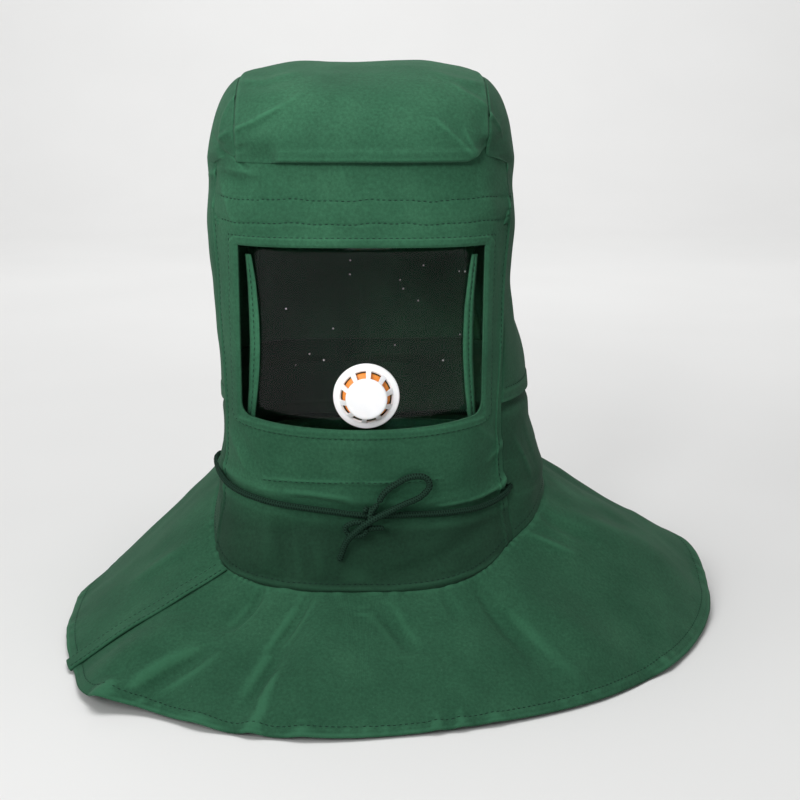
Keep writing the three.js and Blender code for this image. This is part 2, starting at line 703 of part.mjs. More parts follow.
function valveBody() {
  const profile = [
    [VALVE_CONE_FOOT - VALVE_WALL, 0],
    [VALVE_RADIUS, 0],
    [VALVE_RADIUS, VALVE_FLANGE * 0.6],
    [VALVE_RADIUS - 0.6, VALVE_FLANGE],
    [VALVE_CONE_FOOT, VALVE_FLANGE],
    [VALVE_CAP_RADIUS + 0.4, VALVE_HEIGHT - 0.4],
    [VALVE_CAP_RADIUS, VALVE_HEIGHT],
    [0, VALVE_HEIGHT],
    [0, VALVE_HEIGHT - VALVE_WALL],
    [VALVE_CAP_RADIUS - VALVE_WALL, VALVE_HEIGHT - VALVE_WALL],
    [VALVE_CONE_FOOT - VALVE_WALL, VALVE_FLANGE],
  ].map(([r, h]) => new THREE.Vector2(r, h));
  const lathe = new THREE.LatheGeometry([...profile, profile[0]], VALVE_SLOTS * 3);
  const slots = [];
  const pitch = (2 * Math.PI) / VALVE_SLOTS;
  const middle = (VALVE_CONE_FOOT + VALVE_CAP_RADIUS) / 2;
  for (let slot = 0; slot < VALVE_SLOTS; slot += 1) {
    const width = middle * pitch * VALVE_SLOT_SHARE;
    const tall = VALVE_HEIGHT - VALVE_WALL - VALVE_FLANGE - 1;
    const tool = new THREE.BoxGeometry(width, tall, VALVE_CONE_FOOT - VALVE_CAP_RADIUS + 5);
    tool.translate(0, VALVE_FLANGE + 0.5 + tall / 2, middle);
    tool.rotateY(pitch * (slot + VALVE_SLOT_TURN));
    slots.push(tool);
  }
  return placeValve(cut(lathe, ...slots));
}

function valveDiaphragm() {
  const height = VALVE_FLANGE + 1.2;
  const profile = [
    [0, 0],
    [DIAPHRAGM_RADIUS, 0],
    [DIAPHRAGM_RADIUS, height - DIAPHRAGM_THICKNESS],
    [VALVE_CAP_RADIUS * 0.7, height + DIAPHRAGM_THICKNESS],
    [0, height + DIAPHRAGM_THICKNESS],
  ].map(([r, h]) => new THREE.Vector2(r, h));
  return placeValve(new THREE.LatheGeometry(profile, 20));
}

// Drawcord
function cordTube(route, steps) {
  const path = new THREE.CatmullRomCurve3(route.map((point) => new THREE.Vector3(...point)));
  const sides = 8;
  const section = new THREE.Shape();
  for (let side = 0; side < sides; side += 1) {
    const angle = (side / sides) * 2 * Math.PI;
    const [x, y] = [Math.cos(angle) * (CORD_DIAMETER / 2), Math.sin(angle) * (CORD_DIAMETER / 2)];
    if (side) section.lineTo(x, y);
    else section.moveTo(x, y);
  }
  section.closePath();
  return new THREE.ExtrudeGeometry(section, { steps, extrudePath: path });
}

function cordKnot() {
  const inner = CORD_DIAMETER / 2 + KNOT_ROOM;
  const half = KNOT_WIDTH / 2;
  const profile = [
    [inner, -half],
    [KNOT_RADIUS * 0.8, -half],
    [KNOT_RADIUS, -half * 0.5],
    [KNOT_RADIUS, half * 0.5],
    [KNOT_RADIUS * 0.8, half],
    [inner, half],
    [inner, -half],
  ].map(([r, h]) => new THREE.Vector2(r, h));
  const knot = new THREE.LatheGeometry(profile, 12);
  knot.rotateZ(Math.PI / 2);
  const [x, y, z] = KNOT_AT;
  knot.translate(x, y, z);
  return knot;
}

// The hood, one mesh for each piece
const hood = new THREE.Group();

function add(name, geometry, material) {
  const mesh = new THREE.Mesh(geometry, material);
  mesh.name = name;
  hood.add(mesh);
}

const clothMaterial = canvas("green canvas");
const filmMaterial = new THREE.MeshStandardMaterial({
  name: "clear film",
  color: 0xd8dcdc,
  roughness: 0.15,
  transparent: true,
  opacity: 0.35,
});
const whitePlastic = new THREE.MeshStandardMaterial({ name: "white plastic", color: 0xefefef, roughness: 0.45 });
const orangeRubber = new THREE.MeshStandardMaterial({ name: "orange rubber", color: 0xd9822b, roughness: 0.6 });
const cordMaterial = new THREE.MeshStandardMaterial({ name: "dark cord", color: 0x16271f, roughness: 0.85 });

add("crown_panel", crownPanel(), clothMaterial);
add("side_panel_left", sidePanel(-1), clothMaterial);
add("side_panel_right", sidePanel(1), clothMaterial);
add("front_panel", frontPanel(), clothMaterial);
add("neck_panel", neckPanel(), clothMaterial);
add("cape", cape(), clothMaterial);
add("cape_placket", capePlacket(), clothMaterial);
add("visor", visor(), filmMaterial);
add("visor_strip_left", visorStrip(-1), clothMaterial);
add("visor_strip_right", visorStrip(1), clothMaterial);
add("valve_body", valveBody(), whitePlastic);
add("valve_diaphragm", valveDiaphragm(), orangeRubber);
add("drawcord", cordTube(CORD_ROUTE, 62), cordMaterial);
add("drawcord_bow", cordTube(BOW_ROUTE, 28), cordMaterial);
add("cord_knot", cordKnot(), cordMaterial);

export default hood;
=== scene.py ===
# %% [markdown]
# # A green canvas sandblasting hood
# A hood of cotton canvas is sewn from a few flat panels and takes its form from being worn. The
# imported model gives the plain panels. Here each one is rebuilt as finer cloth with its folds,
# hems and stitches, in the same frame, and gets a woven material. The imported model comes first,
# because everything else is placed by it.

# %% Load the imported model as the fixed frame
import math
import bmesh
import bpy
import numpy as np
from mathutils import Matrix, Vector, noise
from mathutils.bvhtree import BVHTree


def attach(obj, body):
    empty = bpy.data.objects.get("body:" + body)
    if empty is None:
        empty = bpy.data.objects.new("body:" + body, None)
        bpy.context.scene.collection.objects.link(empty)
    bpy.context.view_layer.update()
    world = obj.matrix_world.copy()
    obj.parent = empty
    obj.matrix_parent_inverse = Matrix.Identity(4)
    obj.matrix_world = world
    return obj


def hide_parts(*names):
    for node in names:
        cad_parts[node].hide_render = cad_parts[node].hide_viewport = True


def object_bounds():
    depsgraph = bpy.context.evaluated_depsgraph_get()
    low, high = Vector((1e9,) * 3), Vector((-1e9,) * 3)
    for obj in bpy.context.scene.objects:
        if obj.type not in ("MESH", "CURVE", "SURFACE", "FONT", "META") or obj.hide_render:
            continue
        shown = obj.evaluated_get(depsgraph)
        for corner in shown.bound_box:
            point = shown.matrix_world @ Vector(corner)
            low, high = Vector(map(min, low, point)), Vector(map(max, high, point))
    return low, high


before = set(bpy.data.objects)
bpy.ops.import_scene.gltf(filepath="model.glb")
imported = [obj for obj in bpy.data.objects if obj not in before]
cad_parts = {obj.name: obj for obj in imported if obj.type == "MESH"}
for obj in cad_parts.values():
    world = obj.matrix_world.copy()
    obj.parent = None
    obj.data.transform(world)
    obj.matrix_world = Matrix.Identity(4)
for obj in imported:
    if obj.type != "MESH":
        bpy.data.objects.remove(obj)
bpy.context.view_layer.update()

MM = 0.001

# %% [markdown]
# ## Camera
# The photograph was taken at eye level from about a metre, looking a little down. A Blender camera
# takes its viewing angle from the lens and the sensor, so a focal length in pixels of the
# 800 pixel frame is turned into millimetres. A small shift moves the hood off the frame's middle.

# %% Make the camera
FRAME_PIXELS = 800
FOCAL_PIXELS = 1485
MIDDLE_COLUMN = 361.5
DOWN_TILT = math.radians(12.9)
CAMERA_DISTANCE = 1.0

camera_data = bpy.data.cameras.new("photo_camera")
camera_data.sensor_width = 36
camera_data.lens = camera_data.sensor_width * FOCAL_PIXELS / FRAME_PIXELS
camera_data.shift_x = (FRAME_PIXELS / 2 - MIDDLE_COLUMN) / FRAME_PIXELS
camera = bpy.data.objects.new("photo_camera", camera_data)
bpy.context.scene.collection.objects.link(camera)
camera.location = (0, -CAMERA_DISTANCE, 0)
camera.rotation_euler = (math.pi / 2 - DOWN_TILT, 0, 0)
bpy.context.scene.camera = camera
bpy.context.scene.view_settings.view_transform = "Standard"
print("lens", round(camera_data.lens, 1), "mm")

# %% [markdown]
# ## The drawcord's route
# The cord's place comes before the cloth, because the cloth is drawn in under it. The points are
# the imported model's, in millimetres: out of the left slit, across the front, in at the right slit
# and round the back inside the neck. The bow is a second route from the knot round its loop.

# %% Note the cord's points
CORD_DIAMETER = 4
CORD_ROUTE = [
    (-93.8, -36.6, -256.5), (-96.1, -44.6, -257.5), (-94.8, -57.6, -259), (-91, -73.8, -261),
    (-85, -86.6, -264), (-76.4, -96.2, -266.5), (-65.8, -103.7, -268.5), (-50.4, -109.3, -271),
    (-22, -113.2, -274), (5, -116.3, -276.3), (30, -112.4, -276.6), (50, -108.4, -276.9),
    (65.5, -103, -276.7), (76.2, -95.8, -276.5), (85.6, -87, -275), (92.8, -78, -273),
    (96.8, -68, -271), (100, -58, -269), (106.5, -46, -268), (113, -22, -267),
    (116, 5, -266), (116, 38, -265), (110, 68, -264), (100, 88, -263), (85, 100, -262),
    (62, 102, -262), (33, 96, -262), (0, 94, -262), (-33, 93, -262), (-60, 86.7, -263),
    (-77, 73.5, -264), (-86.5, 52, -266), (-89.5, 20, -264), (-90, -5, -260), (-89.5, -20, -257.5),
]
BOW_ROUTE = [
    (10.5, -119, -267.2), (14, -118.5, -261), (21, -118, -255.5), (30, -117.5, -251),
    (39, -117.5, -251), (42, -117.5, -257), (36, -117.5, -264), (27, -118, -268),
    (17, -121.5, -272), (6, -126, -276.5), (-3, -124, -284), (-9, -121, -291.5),
    (-12, -120, -299), (-14, -119.5, -305),
]
KNOT_AT = CORD_ROUTE[9]
print(len(CORD_ROUTE), "points on the cord,", len(BOW_ROUTE), "on the bow")

# %% [markdown]
# ## Helpers for tables and curves
# The form of the cloth is kept in short tables. A reader that follows a smooth curve between the
# rows keeps the tables short, and numpy arrays let one call place a whole grid of points.


# %% Read tables along smooth curves
def smoothstep(value, low, high):
    share = np.clip((value - low) / (high - low), 0, 1)
    return share * share * (3 - 2 * share)


def mix(low, high, share):
    return low + (high - low) * share


def run_along(path):
    """How far along a path each of its points lies."""
    return np.concatenate([[0], np.cumsum(np.linalg.norm(np.diff(path, axis=0), axis=1))])


def points_at(path, at):
    """Points of a path at the given distances along it."""
    run = run_along(path)
    return np.stack([np.interp(at, run, column) for column in np.transpose(path)], -1)


def turn_from(turn, middle):
    """The turn from a middle direction, the short way round."""
    return np.arctan2(np.sin(turn - middle), np.cos(turn - middle))


def read_table(rows, along, place, column, period=0):
    at = np.array([row[along] for row in rows], float)
    value = np.array([row[column] for row in rows], float)
    place = np.asarray(place, float)
    if period:
        place = at[0] + np.mod(place - at[0], period)
        at = np.concatenate([at[-2:] - period, at, at[:2] + period])
        value = np.concatenate([value[-2:], value, value[:2]])
    else:
        place = np.clip(place, at[0], at[-1])
    index = np.arange(len(at))
    before = np.maximum(index - 1, 0)
    after = np.minimum(index + 1, len(at) - 1)
    slope = (value[after] - value[before]) / (at[after] - at[before])
    k = np.clip(np.searchsorted(at, place, side="right") - 1, 0, len(at) - 2)
    span = at[k + 1] - at[k]
    share = (place - at[k]) / span
    square = share * share
    cube = square * share
    return (
        value[k] * (2 * cube - 3 * square + 1)
        + slope[k] * span * (cube - 2 * square + share)
        + value[k + 1] * (3 * square - 2 * cube)
        + slope[k + 1] * span * (cube - square)
    )


# %% [markdown]
# ## The hood's form
# A level section through the upper part is a soft square, so it is a superellipse, with its own
# reach to the side, the front and the back at each height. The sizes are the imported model's, in
# millimetres, and the finer cloth below is laid on the same surface.

# %% Sizes and tables of the form
HOOD_HEIGHT = 380
HALF_WIDTH = 98
FRONT_REACH = 119
BACK_REACH = 100
CAPE_REACH = 215
CLOTH = 2
SEAM_GAP = 0.5
SKIN_GAP = 0.35
LIP_LEVEL = 0.845
LIP_OVERHANG = 6
LIP_BLEND = 0.06
LIP_COVER = 5
GUSSET_HALF_WIDTH = 77
GUSSET_EDGE_BLEND = 6
GUSSET_EVEN_OUT = 25
SECTION_POWER = 3.4
FRONT_EDGE_TURN = math.radians(62)
NAPE_LEVEL = 0.44
NAPE_TUCK = 10
NAPE_ROOM = 1.8
DOME_SIDE_POWER = 3.8
DOME_SIDE_TAPER = 0.09
DOME_FRONT_POWER = 2.5
DOME_BACK_POWER = 2.6
SLACK_TURN = math.radians(115)
SLACK_SPREAD = math.radians(46)
TINY = 1e-6

WALL = [
    dict(level=0.14, side=1.06, front=1.01, back=1.1, slack=0.3),
    dict(level=0.21, side=1.03, front=0.965, back=1.05, slack=0.31),
    dict(level=0.274, side=0.98, front=0.915, back=1.0, slack=0.31),
    dict(level=0.33, side=0.96, front=0.955, back=0.98, slack=0.285),
    dict(level=0.4, side=0.945, front=0.985, back=0.965, slack=0.24),
    dict(level=0.48, side=0.955, front=0.99, back=0.96, slack=0.19),
    dict(level=0.57, side=0.975, front=0.995, back=0.97, slack=0.07),
    dict(level=0.65, side=0.985, front=1.0, back=0.99, slack=0),
    dict(level=0.75, side=1.01, front=1.0, back=1.0, slack=0),
    dict(level=0.83, side=0.98, front=0.975, back=1.01, slack=0),
    dict(level=0.87, side=0.96, front=0.965, back=1.01, slack=0),
]

CAPE = [
    dict(turn=-150, seam=0.288, reach=0.96, lift=0, bell=0.1),
    dict(turn=-120, seam=0.282, reach=0.95, lift=0.004, bell=0.05),
    dict(turn=-93, seam=0.256, reach=0.945, lift=0, bell=0),
    dict(turn=-76, seam=0.218, reach=0.95, lift=0.004, bell=0.02),
    dict(turn=-56, seam=0.176, reach=1.02, lift=0.002, bell=0.08),
    dict(turn=-45, seam=0.164, reach=1.085, lift=0.004, bell=0.12),
    dict(turn=-35, seam=0.158, reach=1.035, lift=0.004, bell=0.12),
    dict(turn=-20, seam=0.151, reach=1.03, lift=0, bell=0.12),
    dict(turn=-6, seam=0.147, reach=1.012, lift=0, bell=0.14),
    dict(turn=8, seam=0.148, reach=0.985, lift=0, bell=0.14),
    dict(turn=24, seam=0.157, reach=0.985, lift=0.002, bell=0.12),
    dict(turn=45, seam=0.178, reach=1.02, lift=0, bell=0.14),
    dict(turn=68, seam=0.21, reach=1.075, lift=0, bell=0.14),
    dict(turn=90, seam=0.25, reach=1.15, lift=0.016, bell=0.08),
    dict(turn=112, seam=0.264, reach=1.2, lift=0.06, bell=-0.04),
    dict(turn=145, seam=0.276, reach=1.06, lift=0.004, bell=-0.04),
    dict(turn=180, seam=0.288, reach=1.0, lift=0, bell=0.1),
]


# %% Place points on the wall and the dome
def height_at(level):
    return (level - 1) * HOOD_HEIGHT


LIP = height_at(LIP_LEVEL)
DOME_HEIGHT = HOOD_HEIGHT * (1 - LIP_LEVEL) + CLOTH


def dome_scale(z, power):
    share = np.clip((z - LIP) / DOME_HEIGHT, 0, 1)
    return (1 - share**power) ** (1 / power)


def reach_at(z, lipped):
    z = np.asarray(z, float)
    level = z / HOOD_HEIGHT + 1
    lip = LIP_OVERHANG * smoothstep(level, LIP_LEVEL - LIP_BLEND, LIP_LEVEL) if lipped else 0 * level
    flat = np.minimum(level, LIP_LEVEL)
    share = np.clip((z - LIP) / DOME_HEIGHT, 0, 1)
    side = HALF_WIDTH * read_table(WALL, "level", flat, "side") + lip / 2
    front = FRONT_REACH * read_table(WALL, "level", flat, "front") + lip
    back = BACK_REACH * read_table(WALL, "level", flat, "back")
    return dict(
        side=side * dome_scale(z, DOME_SIDE_POWER) * (1 - DOME_SIDE_TAPER * share),
        front=front * dome_scale(z, DOME_FRONT_POWER),
        back=back * dome_scale(z, DOME_BACK_POWER),
        slack=HALF_WIDTH * read_table(WALL, "level", level, "slack"),
    )


def wall_point(turn, z, lipped=True, inset=0):
    turn, z = np.broadcast_arrays(np.asarray(turn, float), np.asarray(z, float))
    reach = reach_at(z, lipped)
    power = 2 / SECTION_POWER
    away = np.where(np.cos(turn) > 0, reach["front"], reach["back"])
    slack = reach["slack"] * np.exp(-(((turn - SLACK_TURN) / SLACK_SPREAD) ** 4))
    x = np.sign(np.sin(turn)) * np.abs(np.sin(turn)) ** power * reach["side"]
    y = -np.sign(np.cos(turn)) * np.abs(np.cos(turn)) ** power * away
    grow = 1 + (slack - inset) / np.hypot(x, y)
    return np.stack([x * grow, y * grow, z], -1)


def bow_at(x, reach):
    """How far the section bows out at a place across it, as a share of its reach ahead or behind."""
    share = np.clip(np.abs(x) / np.maximum(reach["side"], TINY), 0, 1)
    return (1 - share**SECTION_POWER) ** (1 / SECTION_POWER)


def plain_front_at(x, z):
    """The y value of the wall's front without the lip."""
    reach = reach_at(z, False)
    return -reach["front"] * bow_at(x, reach)


def turn_at_side(x, z, lipped=True):
    share = np.clip(x / reach_at(z, lipped)["side"], 0, 1)
    return np.arcsin(share ** (SECTION_POWER / 2))


HALVINGS = 30


def dome_top_at(x):
    """The dome's height at a place across it, found by halving the range that holds it."""
    low = np.full(np.shape(x), float(LIP))
    high = low + DOME_HEIGHT
    for step in range(HALVINGS):
        middle = (low + high) / 2
        wider = reach_at(middle, True)["side"] > np.abs(x)
        low = np.where(wider, middle, low)
        high = np.where(wider, high, middle)
    return low


def seam_height(turn):
    return height_at(read_table(CAPE, "turn", np.degrees(turn), "seam", 360))


print("the lip is at", round(LIP, 1), "mm and the dome is", round(DOME_HEIGHT, 1), "mm high")

# %% [markdown]
# ## Folds and creases
# Canvas is stiff, so it makes a few long soft folds and some sharper creases where seams hold it.
# Each is a line on the panel with a height and a spread. Two layers of soft noise add the slight
# unevenness that no flat cloth lacks. The heights are added along the surface's own normals.


# %% Make reliefs from lines and noise
def line_relief(a, b, lines):
    """Ridges, or valleys where rise is below zero, along lines on a flat plan of the cloth."""
    total = np.zeros(np.shape(a))
    for a0, b0, a1, b1, rise, spread in lines:
        da, db = a1 - a0, b1 - b0
        share = np.clip(((a - a0) * da + (b - b0) * db) / (da * da + db * db), 0, 1)
        away = np.hypot(a - a0 - share * da, b - b0 - share * db)
        taper = np.sin(np.pi * np.clip(0.08 + 0.84 * share, 0, 1)) ** 0.6
        total += rise * taper * np.exp(-((away / spread) ** 2))
    return total


def noise_relief(points, size, height, seed):
    """Soft lumps of a given size and height, in millimetres."""
    flat = points.reshape(-1, 3) / size + seed * 17.3
    values = [noise.noise(Vector(point)) for point in flat]
    return np.array(values).reshape(points.shape[:-1]) * height


def groove(distance, depth, width):
    return -depth * np.exp(-((distance / width) ** 2))


def calm(distance, width=12):
    """0 on a seam and 1 away from it, so that two panels meet there at the same height."""
    return smoothstep(distance, 0.5, width)


def sewn_hem(distance, depth=9):
    """A hem folded to a given depth: a thicker band, and the groove where its thread pulls."""
    return groove(distance - depth, 0.4, 1.0) + 0.5 * smoothstep(distance, depth, depth - 2)


# %% [markdown]
# ## Cloth from a grid
# Each panel starts as Blender's own grid, which comes with clean rows of faces. Its corners are
# then moved to the panel's surface. The UV map holds the place on the flat cloth in metres, so the
# weave has its true size and runs the way the panel was cut. Solidify gives the cloth its
# thickness inwards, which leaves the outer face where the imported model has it.


# %% Build one panel of cloth
def normals_of(points, closed):
    if closed:
        along = np.roll(points[:, :-1], -1, 1) - np.roll(points[:, :-1], 1, 1)
        along = np.concatenate([along, along[:, :1]], 1)
    else:
        along = np.gradient(points, axis=1)
    across = np.gradient(points, axis=0)
    normal = np.cross(along, across)
    length = np.linalg.norm(normal, axis=-1, keepdims=True)
    return normal / np.maximum(length, 1e-9)


UNDER_HOOD = (0, 0, -450)


def outward(points, normals):
    """1 if the normals point away from a place under the hood, and -1 if they point to it."""
    return 1 if ((points - np.array(UNDER_HOOD)) * normals).sum(-1).mean() > 0 else -1


def ridge_wear_and_highlight(rise):
    """How far each place stands above its neighbours, from 0 to 1: ridges are made paler there, partly as
    wear where dye rubs off and partly as painted highlight.
    """
    around = (np.roll(rise, 2, 0) + np.roll(rise, -2, 0) + np.roll(rise, 2, 1) + np.roll(rise, -2, 1)) / 4
    return np.clip((rise - around - 0.05) * 1.1, 0, 0.4)


def cloth_panel(name, columns, rows, place, relief, on_cloth, closed=False, thickness=1.3, holes=None):
    u, v = np.meshgrid(np.linspace(0, 1, columns + 1), np.linspace(0, 1, rows + 1))
    points = place(u, v)
    normals = normals_of(points, closed)
    facing = outward(points, normals)
    rise = relief(u, v, points)
    # Ridges are marked for a paler colour, partly wear and partly painted highlight.
    wear_and_highlight = ridge_wear_and_highlight(rise)
    points = points + normals * (facing * rise)[..., None]
    if closed:
        points[:, -1] = points[:, 0]
    flat = on_cloth(u, v, points)
    bm = bmesh.new()
    uv_layer = bm.loops.layers.uv.new("UVMap")
    wear_and_highlight_layer = bm.verts.layers.float.new("wear_and_highlight")
    bmesh.ops.create_grid(bm, x_segments=columns, y_segments=rows, size=0.5)
    corner = {}
    for vert in bm.verts:
        i = round((vert.co.x + 0.5) * columns)
        j = round((vert.co.y + 0.5) * rows)
        corner[vert] = (j, i)
    for face in bm.faces:
        for loop in face.loops:
            loop[uv_layer].uv = flat[corner[loop.vert]] * MM
    for vert in bm.verts:
        vert.co = points[corner[vert]] * MM
        vert[wear_and_highlight_layer] = wear_and_highlight[corner[vert]]
    if holes:
        cut = [face for face in bm.faces if holes(face.calc_center_median() / MM)]
        bmesh.ops.delete(bm, geom=cut, context="FACES")
    if facing < 0:
        bmesh.ops.reverse_faces(bm, faces=bm.faces[:])
    if closed:
        bmesh.ops.remove_doubles(bm, verts=bm.verts[:], dist=1e-6)
    return finish_mesh(name, bm, thickness)


def finish_mesh(name, bm, thickness=0.0):
    for face in bm.faces:
        face.smooth = True
    mesh = bpy.data.meshes.new(name)
    bm.to_mesh(mesh)
    bm.free()
    piece = bpy.data.objects.new(name, mesh)
    bpy.context.scene.collection.objects.link(piece)
    print(name, len(mesh.polygons), "faces")
    if thickness:
        wall = piece.modifiers.new("wall", "SOLIDIFY")
        wall.thickness = thickness * MM
        wall.offset = -1
        wall.use_even_offset = False
    return piece


# %% [markdown]
# ## Canvas
# Canvas is a plain weave of stout cotton yarn. Two waves across each other on the flat cloth give
# the warp and the weft at their true pitch, and go into the bump and, faintly, the colour.
# Dyed cotton is never even, so slow noise shifts the green and fine noise adds lint. A little
# sheen stands for the fibres that catch light at a glancing angle. Ridges are made paler, partly
# as wear and partly as painted highlight. Below the drawcord the front's cloth is darkened as
# painted shade, the right side panel and the neck get darker copies as painted shade, and the
# strips inside the window get a lighter copy as painted light.


# %% Make the canvas material
def new_material(name):
    material = bpy.data.materials.new(name)
    material.use_nodes = True
    nodes = material.node_tree.nodes
    nodes.clear()
    output = nodes.new("ShaderNodeOutputMaterial")
    shader = nodes.new("ShaderNodeBsdfPrincipled")
    material.node_tree.links.new(shader.outputs["BSDF"], output.inputs["Surface"])
    return material, material.node_tree, shader


def noise_node(tree, vector, scale, detail=3.0, roughness=0.5):
    node = tree.nodes.new("ShaderNodeTexNoise")
    node.inputs["Scale"].default_value = scale
    node.inputs["Detail"].default_value = detail
    node.inputs["Roughness"].default_value = roughness
    tree.links.new(vector, node.inputs["Vector"])
    return node


def ramp_node(tree, factor, stops):
    node = tree.nodes.new("ShaderNodeValToRGB")
    elements = node.color_ramp.elements
    while len(elements) < len(stops):
        elements.new(0.5)
    for element, (position, colour) in zip(elements, stops):
        element.position = position
        element.color = (*colour, 1)
    tree.links.new(factor, node.inputs["Fac"])
    return node


def mix_colour(tree, blend, factor, a, b):
    node = tree.nodes.new("ShaderNodeMix")
    node.data_type = "RGBA"
    node.blend_type = blend
    for socket, value in ((node.inputs[0], factor), (node.inputs[6], a), (node.inputs[7], b)):
        if isinstance(value, bpy.types.NodeSocket):
            tree.links.new(value, socket)
        else:
            socket.default_value = value
    return node.outputs[2]


def math_node(tree, operation, a, b):
    node = tree.nodes.new("ShaderNodeMath")
    node.operation = operation
    for socket, value in zip(node.inputs, (a, b)):
        if isinstance(value, bpy.types.NodeSocket):
            tree.links.new(value, socket)
        else:
            socket.default_value = value
    return node.outputs[0]


def bump_node(tree, height, strength, distance, before=None):
    node = tree.nodes.new("ShaderNodeBump")
    node.inputs["Strength"].default_value = strength
    node.inputs["Distance"].default_value = distance
    tree.links.new(height, node.inputs["Height"])
    if before:
        tree.links.new(before, node.inputs["Normal"])
    return node.outputs["Normal"]


YARN_PITCH = 0.00065
CANVAS_DARK = (0.021, 0.098, 0.050)
CANVAS_MIDDLE = (0.027, 0.116, 0.060)
CANVAS_LIGHT = (0.035, 0.138, 0.072)


def scaled(colour, brightness):
    return tuple(channel * brightness for channel in colour)


def weave_waves(tree, uv):
    """Warp and weft as two sets of bands across each other, a little uneven like spun yarn."""
    waves = []
    for direction in ("X", "Y"):
        wave = tree.nodes.new("ShaderNodeTexWave")
        wave.bands_direction = direction
        wave.inputs["Scale"].default_value = 2 * math.pi / 20 / YARN_PITCH
        wave.inputs["Distortion"].default_value = 1.2
        wave.inputs["Detail"].default_value = 1.0
        wave.inputs["Detail Scale"].default_value = 0.35
        tree.links.new(uv, wave.inputs["Vector"])
        waves.append(wave.outputs["Fac"])
    return math_node(tree, "MULTIPLY", *waves)


def canvas_material(name, brightness=1.0, painted_shade_below=None):
    """Canvas of a given brightness, with painted shade below a height in metres if one is given."""
    material, tree, shader = new_material(name)
    uv = tree.nodes.new("ShaderNodeUVMap")
    uv.uv_map = "UVMap"
    place = tree.nodes.new("ShaderNodeTexCoord").outputs["Object"]
    weave = weave_waves(tree, uv.outputs["UV"])
    blotch = noise_node(tree, place, 26, 4).outputs["Fac"]
    stops = [(0.3, CANVAS_DARK), (0.52, CANVAS_MIDDLE), (0.75, CANVAS_LIGHT)]
    base = ramp_node(tree, blotch, [(at, scaled(colour, brightness)) for at, colour in stops])
    heather = noise_node(tree, place, 520, 3, 0.65).outputs["Fac"]
    heather = ramp_node(tree, heather, [(0.3, (0.78, 0.80, 0.79)), (0.7, (1.2, 1.17, 1.18))])
    colour = mix_colour(tree, "MULTIPLY", 1.0, base.outputs["Color"], heather.outputs["Color"])
    yarn = ramp_node(tree, weave, [(0.0, (0.62, 0.66, 0.64)), (0.6, (1.0, 1.0, 1.0))])
    colour = mix_colour(tree, "MULTIPLY", 0.3, colour, yarn.outputs["Color"])
    # Ridges are made paler, partly as wear and partly as painted highlight.
    wear_and_highlight = tree.nodes.new("ShaderNodeAttribute")
    wear_and_highlight.attribute_name = "wear_and_highlight"
    pale = scaled(CANVAS_LIGHT, brightness * 1.7)
    colour = mix_colour(tree, "MIX", wear_and_highlight.outputs["Fac"], colour, (*pale, 1))
    lint = noise_node(tree, place, 700, 2).outputs["Fac"]
    fleck = ramp_node(tree, lint, [(0.735, (0, 0, 0)), (0.8, (0.3, 0.3, 0.3))])
    colour = mix_colour(tree, "MIX", fleck.outputs["Color"], colour, (0.1, 0.2, 0.14, 1))
    # Painted shade: below the given height the colour is darkened to half.
    if painted_shade_below is not None:
        place_xyz = tree.nodes.new("ShaderNodeSeparateXYZ")
        tree.links.new(place, place_xyz.inputs["Vector"])
        painted_shade_factor = tree.nodes.new("ShaderNodeMapRange")
        painted_shade_factor.inputs["From Min"].default_value = painted_shade_below - 0.02
        painted_shade_factor.inputs["From Max"].default_value = painted_shade_below
        painted_shade_factor.inputs["To Min"].default_value = 0.5
        tree.links.new(place_xyz.outputs["Z"], painted_shade_factor.inputs["Value"])
        colour = mix_colour(tree, "MULTIPLY", 1.0, colour, painted_shade_factor.outputs["Result"])
    tree.links.new(colour, shader.inputs["Base Color"])
    rough = noise_node(tree, place, 60, 2).outputs["Fac"]
    rough = ramp_node(tree, rough, [(0.0, (0.82, 0.82, 0.82)), (1.0, (0.95, 0.95, 0.95))])
    tree.links.new(rough.outputs["Color"], shader.inputs["Roughness"])
    soft = noise_node(tree, place, 150, 4).outputs["Fac"]
    relief = bump_node(tree, soft, 0.3, 0.0006)
    relief = bump_node(tree, weave, 0.5, 0.00012, relief)
    tree.links.new(relief, shader.inputs["Normal"])
    shader.inputs["Sheen Weight"].default_value = 0.05
    shader.inputs["Sheen Roughness"].default_value = 0.5
    shader.inputs["Sheen Tint"].default_value = (0.45, 0.75, 0.55, 1)
    shader.inputs["Specular IOR Level"].default_value = 0.2
    return material


canvas = canvas_material("canvas", 0.76)
# Painted shade below the drawcord on the front panel.
front_canvas = canvas_material("canvas of the front", 0.78, painted_shade_below=-0.268)
placket_canvas = canvas_material("canvas of the strip", 0.8)
# Painted shade: a darker copy of the canvas for the right side panel.
right_side_painted_shade_canvas = canvas_material("canvas of the right side with painted shade", 0.62)
# Painted shade: a darker copy of the canvas for the neck.
neck_painted_shade_canvas = canvas_material("canvas of the neck with painted shade", 0.5)
# Painted light: a lighter copy of the canvas for the strips that sit in shade behind the film.
strip_painted_light_canvas = canvas_material("canvas of the strips with painted light", 1.0)


def plain_material(name, scale, dark, light, roughness, gloss):
    """A material of one colour, made uneven by noise between a dark and a light tone of it."""
    material, tree, shader = new_material(name)
    place = tree.nodes.new("ShaderNodeTexCoord").outputs["Object"]
    cloud = noise_node(tree, place, scale, 2).outputs["Fac"]
    ramp = ramp_node(tree, cloud, [(0.3, dark), (0.7, light)])
    tree.links.new(ramp.outputs["Color"], shader.inputs["Base Color"])
    shader.inputs["Roughness"].default_value = roughness
    shader.inputs["Specular IOR Level"].default_value = gloss
    return material


